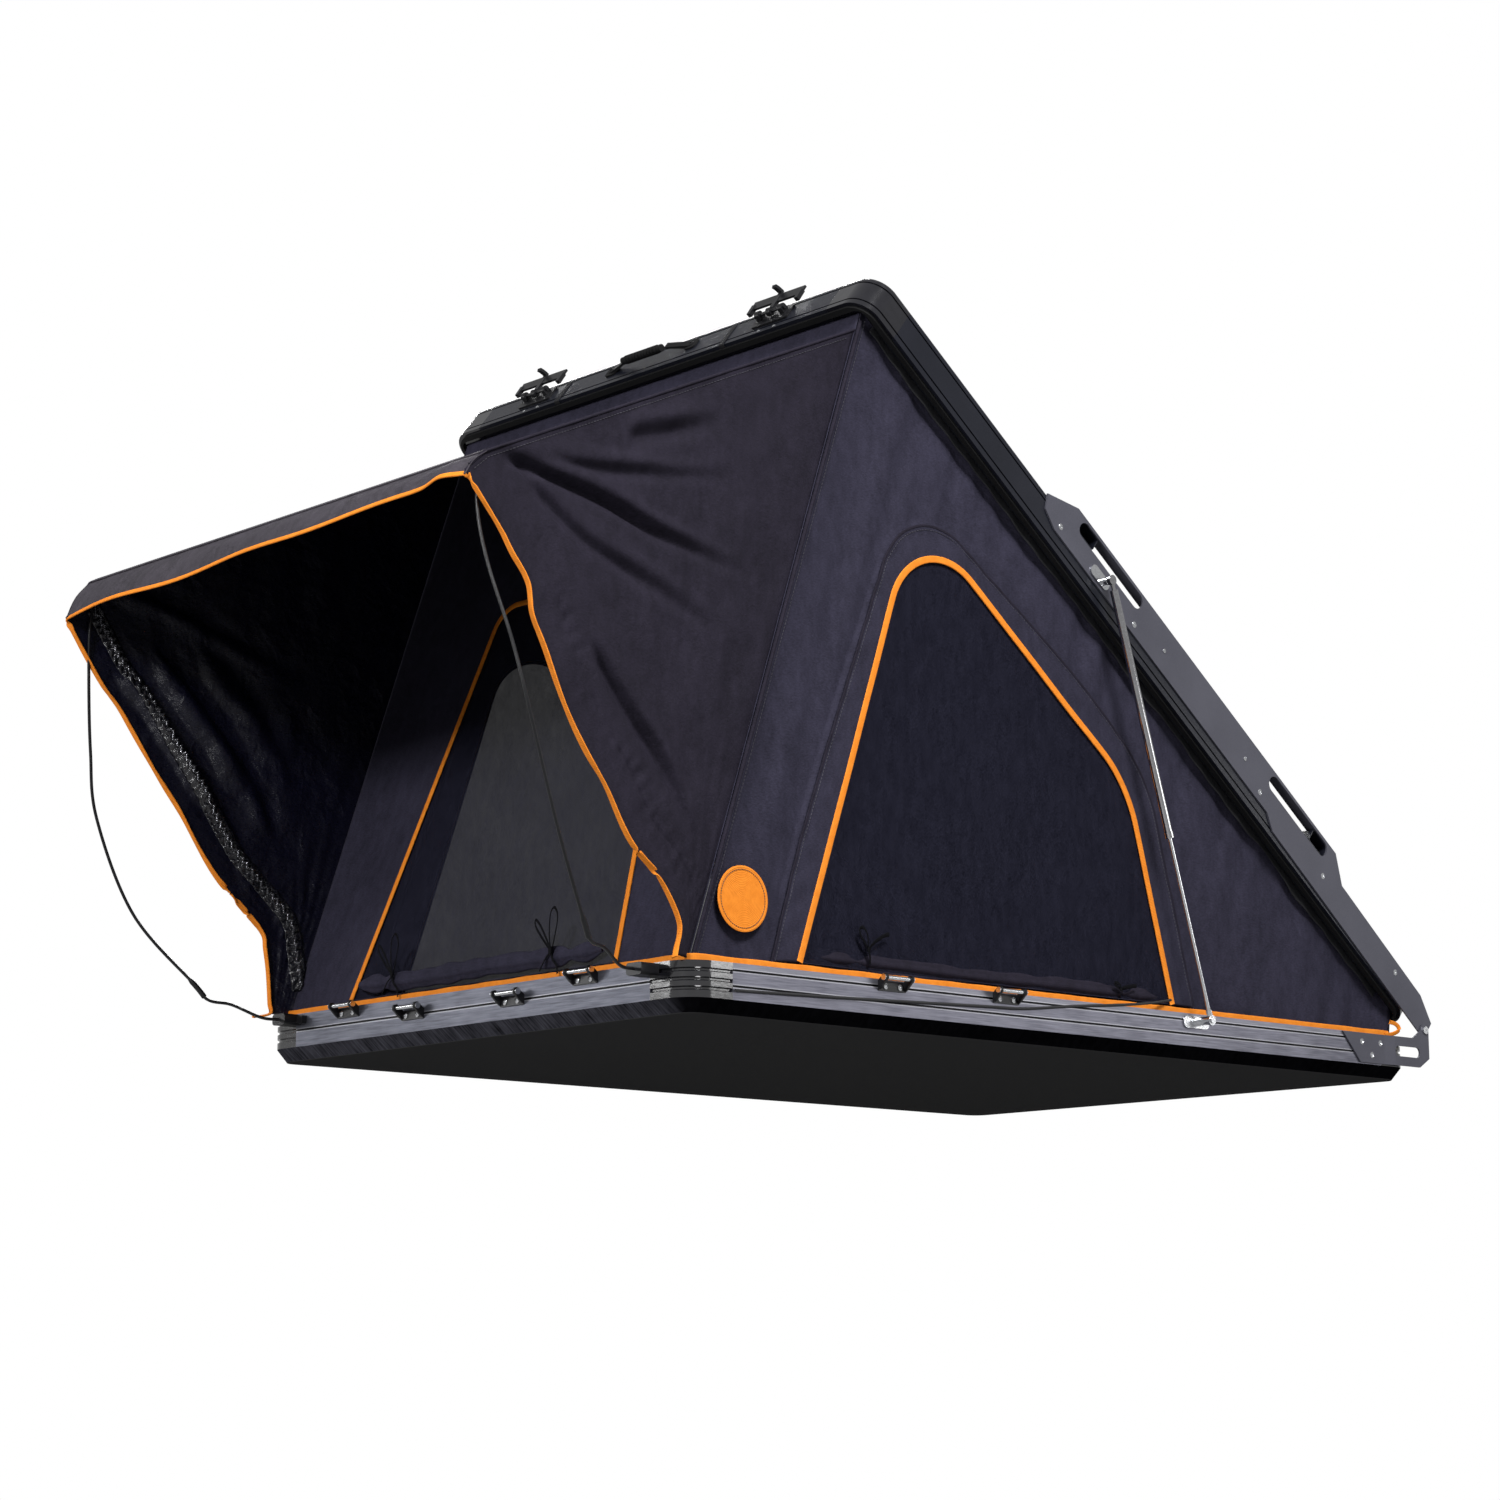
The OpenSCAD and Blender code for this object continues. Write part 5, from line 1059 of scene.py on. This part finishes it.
# %% Rolled flaps
def rolled(name, start, end, radius, seed, material):
    """A rolled flap: a tall oval tube whose size wanders, drawn in at its ends and its two ties."""
    share = np.linspace(0, 1, 160)
    lump = 1 + 0.26 * crease(share * 6, 0, seed, 7, 0.5, 2.0)
    tied = 1 - 0.40 * (bell(share - 0.12, 0.02) + bell(share - 0.88, 0.02))
    ends = np.clip(np.minimum(share, 1 - share) / 0.06, 0.12, 1) ** 0.5
    path = between(np.asarray(start), np.asarray(end), share[:, None])
    path[:, 2] += 0.004 * crease(share * 3, 0, seed + 1, 5, 0.5, 1.5)
    turn = np.linspace(0, 2 * np.pi, 24, endpoint=False)
    layer = radius * (1 + 0.12 * np.cos(5 * turn + 0.6))
    shape = np.stack([0.62 * layer * np.cos(turn), layer * np.sin(turn)], -1)
    return carry(name, path, shape, (0, 0, 1), material, lump * tied * ends)


DOOR_ROLL_X, DOOR_ROLL_Y, DOOR_ROLL_Z = front_at(0.146) - 0.013, 0.405, 0.146
WINDOW_ROLL_Y = WALL_Y - 0.010
rolls = [rolled("door_flap_roll", (DOOR_ROLL_X, DOOR_ROLL_Y, DOOR_ROLL_Z),
                (DOOR_ROLL_X, -DOOR_ROLL_Y, DOOR_ROLL_Z), 0.019, 91, wall_canvas)]
for side, sign in SIDES:
    rolls.append(rolled(f"window_flap_roll_{side}", (-0.76, sign * WINDOW_ROLL_Y, 0.136),
                        (0.29, sign * WINDOW_ROLL_Y, 0.134), 0.017, 95, awning_canvas))
print(len(rolls), "rolled flaps")

# %% [markdown]
# Each roll is tied with two bows: loops and tails of narrow tape through one knot. A strand is a
# smooth curve through a few points, measured in the bow's own size. The door's bows share one set of
# strands and the windows' bows another.

# %% Bows
TALL_LOOP = [(0, 0, 0), (0.16, 0.35, 0.06), (0.30, 0.80, 0.12), (0.20, 1.04, 0.16), (0.05, 0.90, 0.16),
             (-0.02, 0.42, 0.10), (0, 0, 0.03)]
SHORT_TAIL = [(0, 0, 0.03), (0.10, -0.22, 0.08), (0.22, -0.40, 0.05), (0.26, -0.62, 0.07)]
FAT_LOOP = [(0, 0, 0), (0.22, 0.26, 0.10), (0.56, 0.62, 0.16), (0.66, 0.96, 0.18), (0.40, 1.06, 0.18),
            (0.10, 0.72, 0.14), (0, 0, 0.04)]
LONG_TAIL = [(0, 0, 0.04), (0.26, 0.30, 0.16), (0.62, 0.56, 0.20), (1.10, 0.80, 0.16), (1.42, 0.88, 0.14)]
HELD_TAPE = [(0, 0.04, 0.06), (0.05, -0.25, 0.10), (0.12, -0.50, 0.02), (0.16, -0.72, -0.10)]
DOOR_BOW = [(way, way_size, lean, strand, 0.006) for way, way_size, lean in ((-1, 1.0, 0.10), (1, 0.78, 0.45))
            for strand in (TALL_LOOP, SHORT_TAIL)]
WINDOW_BOW = [(-1, 1.0, 0.0, FAT_LOOP, 0.0075), (1, 1.0, 0.0, LONG_TAIL, 0.0085),
              (1, 1.0, 0.0, HELD_TAPE, 0.0120)]
STRAND_THICK, KNOT = 0.0012, (0.012, 0.0052)


def bow(name, knot, side_way, out_way, size, strands, squat=1.0):
    """Strands of tape from one knot: each a smooth curve of (side, up, out) steps, scaled and leant over.

    side_way runs along the wall and out_way off it; squat presses the bow down.
    """
    knot, side_way, out_way = (np.asarray(k, float) for k in (knot, side_way, out_way))
    up = np.array([0, 0, 1.0])
    parts = []
    for way, way_size, lean, points, width in strands:
        c = np.array(points) * size * way_size * [1, squat, 1]
        side_at = way * (c[:, :1] + lean * np.abs(c[:, 1:2]))
        curve = smooth(knot + side_at * side_way + c[:, 1:2] * up + c[:, 2:] * out_way, 10)
        parts.append((curve, band_of(width, STRAND_THICK, 8)))
    wrap = knot + (np.linspace(-0.10, 0.10, 12) * size)[:, None] * up + 0.04 * size * out_way
    parts.append((wrap, band_of(*KNOT, 8)))
    return [carry(f"{name}_{k}", path, profile, out_way + 0.3 * side_way, tie_tape)
            for k, (path, profile) in enumerate(parts)]


DOOR_TIES, DOOR_TIE_Z, DOOR_TIE_SIZE = (0.268, -0.262), 0.155, 0.078
WINDOW_TIES = ((-0.612, 0.160, 0.040, 1.0), (0.140, 0.139, 0.034, 0.35))
ties = []
for k, y in enumerate(DOOR_TIES):
    ties += bow(f"door_tie_{k}", (front_at(DOOR_TIE_Z) - 0.030, y, DOOR_TIE_Z), (0, 1, 0), (-0.95, 0, 0.3),
                DOOR_TIE_SIZE, DOOR_BOW)
for side, sign in SIDES:
    for k, (x, z, size, squat) in enumerate(WINDOW_TIES):
        ties += bow(f"window_tie_{side}_{k}", (x, sign * (WALL_Y + 0.0060), z), (1, 0, 0), (0, sign * 0.5, 0),
                    size, WINDOW_BOW, squat)
for made in rolls + ties:
    trim(made, "base", base_fold(0.002))
print(len(ties), "tape pieces in the bows")

# %% [markdown]
# A round patch is sewn on the right wall, by the front corner. It is left plain: a disc of orange
# cloth with a raised stitched rim and nothing printed on it.

# %% Round patch
PATCH_X, PATCH_Z, PATCH_R, PATCH_THICK, SEWN_SHARE = -0.944, 0.231, 0.065, 0.0016, 0.88
share = np.r_[np.linspace(0.0, 0.9, 14), 0.93, 0.96, 0.985, 1.0, 1.0][:, None]
turn = np.linspace(0, 2 * np.pi, 96, endpoint=False)[None, :]
height = PATCH_THICK + 0.0009 * bell(share - 0.95, 0.025) - 0.0006 * bell(share - 0.80, 0.012)
height[-1] = 0.0


def patch_points(share, turn, height):
    """Points of the patch at a share of its radius, an angle and a height off the wall."""
    return grid_points(PATCH_X + share * PATCH_R * np.cos(turn), -(WALL_Y + height),
                       PATCH_Z + share * PATCH_R * np.sin(turn))


disc = surface("round_patch", patch_points(share, turn, height), orange_binding, True, close_cols=True)
trim(disc, "base", FOLD)
rim_line = patch_points(SEWN_SHARE, np.linspace(0, 2 * np.pi, 200), PATCH_THICK)
sewn = stitches("patch_stitches", rim_line, (0, -0.0004, 0), thread, 0.005, 0.0034)
trim(sewn, "base", FOLD)
print("patch", round(2 * PATCH_R, 3), "m across")

# %% [markdown]
# Two webbing straps pass round the lid's front lip. Each is drawn on the shut lid, down its face and
# under the lip, then turned to the open lid with the rest of it.

# %% Lid straps
STRAP_W, STRAP_T, STRAP_GAP = 0.016, 0.0020, 0.0002
STRAP_Y = {"left": 0.300, "right": -0.262}
face_x, under_z = -HALF_LENGTH - STRAP_T / 2, LID_BOTTOM - STRAP_T / 2 - STRAP_GAP
shut = smooth([(face_x, LID_TOP - 0.019), (face_x, 0.150), (face_x, 0.120),
               (face_x - STRAP_GAP, LID_BOTTOM + 0.001), (face_x + 0.004, under_z),
               (face_x + 0.012, under_z), (face_x + 0.021, under_z)], 10)
step = np.gradient(shut, axis=0)
line = opened(shut[:, 0], shut[:, 1])
away = opened(shut[:, 0] + step[:, 1], shut[:, 1] - step[:, 0]) - line
straps = {}
for side, y in STRAP_Y.items():
    path, normal = grid_points(line[:, 0], y, line[:, 1]), grid_points(away[:, 0], 0, away[:, 1])
    straps[side] = carry(f"lid_strap_{side}", path, band_of(STRAP_W, STRAP_T), normal, black_webbing)
    trim(straps[side], "lid")
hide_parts("lid_straps")
print(len(straps), "straps made")

# %% [markdown]
# Spring rods hold the awning out. Each is a thin steel rod that bows outwards, with a crimped
# ferrule above its cranked end. They repeat the route of the solids, in metres.

# %% Spring rods
ROD_R, FERRULE, FERRULE_SPAN = 0.0034, 1.7, (5.9, 6.6)
ROD_ROUTE = np.array([
    (-1.594, 0.664, 0.993), (-1.606, 0.672, 0.900), (-1.594, 0.690, 0.790), (-1.562, 0.726, 0.640),
    (-1.530, 0.744, 0.500), (-1.446, 0.722, 0.300), (-1.330, 0.655, 0.152), (-1.302, 0.642, 0.120),
    (-1.255, 0.625, 0.112), (-1.196, 0.600, 0.087), (-1.1564, 0.592, 0.085)])
rod_line = smooth(ROD_ROUTE, 16)
step_at = np.linspace(0, len(ROD_ROUTE) - 1, len(rod_line))
thickness = np.where((step_at > FERRULE_SPAN[0]) & (step_at < FERRULE_SPAN[1]), FERRULE, 1.0)
for side, sign in SIDES:
    line = rod_line * [1, sign, 1]
    rod = carry(f"awning_rod_{side}_steel", line, ring_of(ROD_R, 12), (0, 1, 0), satin_black, thickness)
    trim(rod, f"awning_rod_{side}_body")
    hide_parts("awning_rod_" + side)
    outwards = np.array([-0.756, 0.54 * sign, -0.365])
    middle = (line[0] + line[-1]) / 2 + 0.012 * outwards
    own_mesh(rod)
print("rods", round(float(distance_along(rod_line)[-1]), 3), "m long")

# %% [markdown]
# The guy cord lies along the right rail. It is a thin braided cord on the route seen in the
# photograph, and its rear end goes under the window's foot.

# %% Guy cord
CORD_R, CORD_Y, CORD_END = 0.003, -0.7035, -0.6732
CORD_ROUTE = [
    (-0.997, CORD_Y, 0.046), (-0.721, CORD_Y, 0.053), (-0.320, CORD_Y, 0.066), (-0.200, CORD_Y, 0.070),
    (-0.049, CORD_Y, 0.086), (0.130, CORD_Y, 0.103), (0.230, CORD_Y + 0.014, 0.116), (0.300, CORD_END, 0.128)]
cord_line = smooth(CORD_ROUTE, 8)
guy = carry("guy_cord", cord_line, ring_of(CORD_R, 10), (0, 0, 1), cord_braid)
trim(guy, "base")
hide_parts("side_cord")
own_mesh(guy)

# %% [markdown]
# The mattress fills the floor: a foam block in a woven cover, with a crown, drawn-in sides and sewn
# channels across it. It is one closed surface, a rounded slab whose top dips at each channel.

# %% Mattress
MATTRESS_X, MATTRESS_Y, MATTRESS_Z, MATTRESS_H = 1.062, 0.651, 0.0142, 0.061
CHANNEL_STEP, CHANNEL_DEPTH, CHANNEL_WIDTH = 0.30, 0.004, 0.010
turn = np.linspace(0, 2 * np.pi, 240, endpoint=False)[None, :]
lift = np.linspace(-np.pi / 2, np.pi / 2, 60)[:, None]
reach, level = np.abs(np.cos(lift)) ** 0.18, rounded(np.sin(lift), 0.5)
slab_x = MATTRESS_X * reach * rounded(np.cos(turn), 0.16)
slab_y = MATTRESS_Y * reach * rounded(np.sin(turn), 0.16)
crown = capped(1 - (slab_x / MATTRESS_X) ** 6) * capped(1 - (slab_y / MATTRESS_Y) ** 6)
off = (slab_x + CHANNEL_STEP / 2) % CHANNEL_STEP - CHANNEL_STEP / 2
channel = CHANNEL_DEPTH * bell(off, CHANNEL_WIDTH) * (level > 0.2)
slab_z = MATTRESS_Z + MATTRESS_H * (0.5 + 0.5 * level * (0.9 + 0.1 * crown)) - channel
slab = grid_points(slab_x, slab_y, np.maximum(slab_z, MATTRESS_Z))
mattress = surface("mattress_cover", slab, mattress_cloth, close_cols=True)
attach(mattress, "base")
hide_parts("mattress")
print("mattress", len(mattress.data.polygons), "faces")

# %% [markdown]
# A plain studio: a pale floor well below the tent, a white world for the camera and for
# reflections, a soft key lamp high on the right, another above the front, a fill behind on the
# left, and two long weak ones low at the sides that the metal rails and the moulded corners mirror.

# %% Stage and light
FLOOR_Z, FLOOR_HALF = -1.3, 6.0
AMBIENT, GLOSSY = 0.20, 0.28


def seen_by(w):
    """1 for rays from the camera or through something clear, and a share for mirrored rays."""
    seen, clear, mirrored = (w.node("ShaderNodeLightPath", out=f"Is {ray} Ray")
                             for ray in ("Camera", "Transmission", "Glossy"))
    return w.maths("MINIMUM", seen + clear + mirrored * GLOSSY, 1.0)


def build_floor(w, place):
    """A dim floor that glows white only for the rays that show it."""
    return {"Base Color": w.blend(w.noise(place, 3.0), (0.24, 0.24, 0.24, 1), (0.28, 0.28, 0.28, 1)),
            "Emission Color": w.blend(seen_by(w), (0, 0, 0, 1), (0.74, 0.74, 0.74, 1)),
            "Emission Strength": 1.0, "Specular IOR Level": 0.0}


floor_corners = np.array([(-1, -1, 0), (1, -1, 0), (1, 1, 0), (-1, 1, 0)]) * FLOOR_HALF + [0, 0, FLOOR_Z]
floor = piece("floor", floor_corners, [[0, 1, 2, 3]], finish("floor_pale", build_floor))

world = bpy.data.worlds.new("studio")
world.use_nodes = True
scene.world = world
back = next(n for n in world.node_tree.nodes if n.type == "BACKGROUND")
wire = Wire(world.node_tree)
wire.put(AMBIENT + seen_by(wire) * (1.0 - AMBIENT), back.inputs["Strength"])
wire.put((1, 1, 1, 1), back.inputs["Color"])


def soft_lamp(name, place, aim, wide, tall, watts):
    """An area lamp at a place, turned towards a point."""
    lamp = bpy.data.objects.new(name, bpy.data.lights.new(name, "AREA"))
    lamp.data.shape, lamp.data.energy = "RECTANGLE", watts
    lamp.data.size, lamp.data.size_y = wide, tall
    lamp.location = place
    lamp.rotation_mode = "QUATERNION"
    lamp.rotation_quaternion = (Vector(aim) - Vector(place)).to_track_quat("-Z", "Y")
    scene.collection.objects.link(lamp)


soft_lamp("key", (-1.75, -4.8, 5.0), (-0.1, -0.5, 0.6), 1.8, 1.8, 478)
soft_lamp("front", (-6.2, -1.8, 2.5), (-1.1, 0.1, 0.3), 1.0, 1.0, 215)
soft_lamp("left", (-5.1, 4.1, 1.2), (-1.1, 0.0, 0.1), 2.6, 0.6, 52)
soft_lamp("right", (4.0, -5.0, 1.15), (0.0, -0.7, 0.1), 3.4, 0.5, 32)
soft_lamp("fill", (3.6, 5.2, 4.6), (0.0, 0.4, 0.5), 2.4, 2.4, 420)
scene.view_settings.view_transform = "Standard"
print("studio ready")
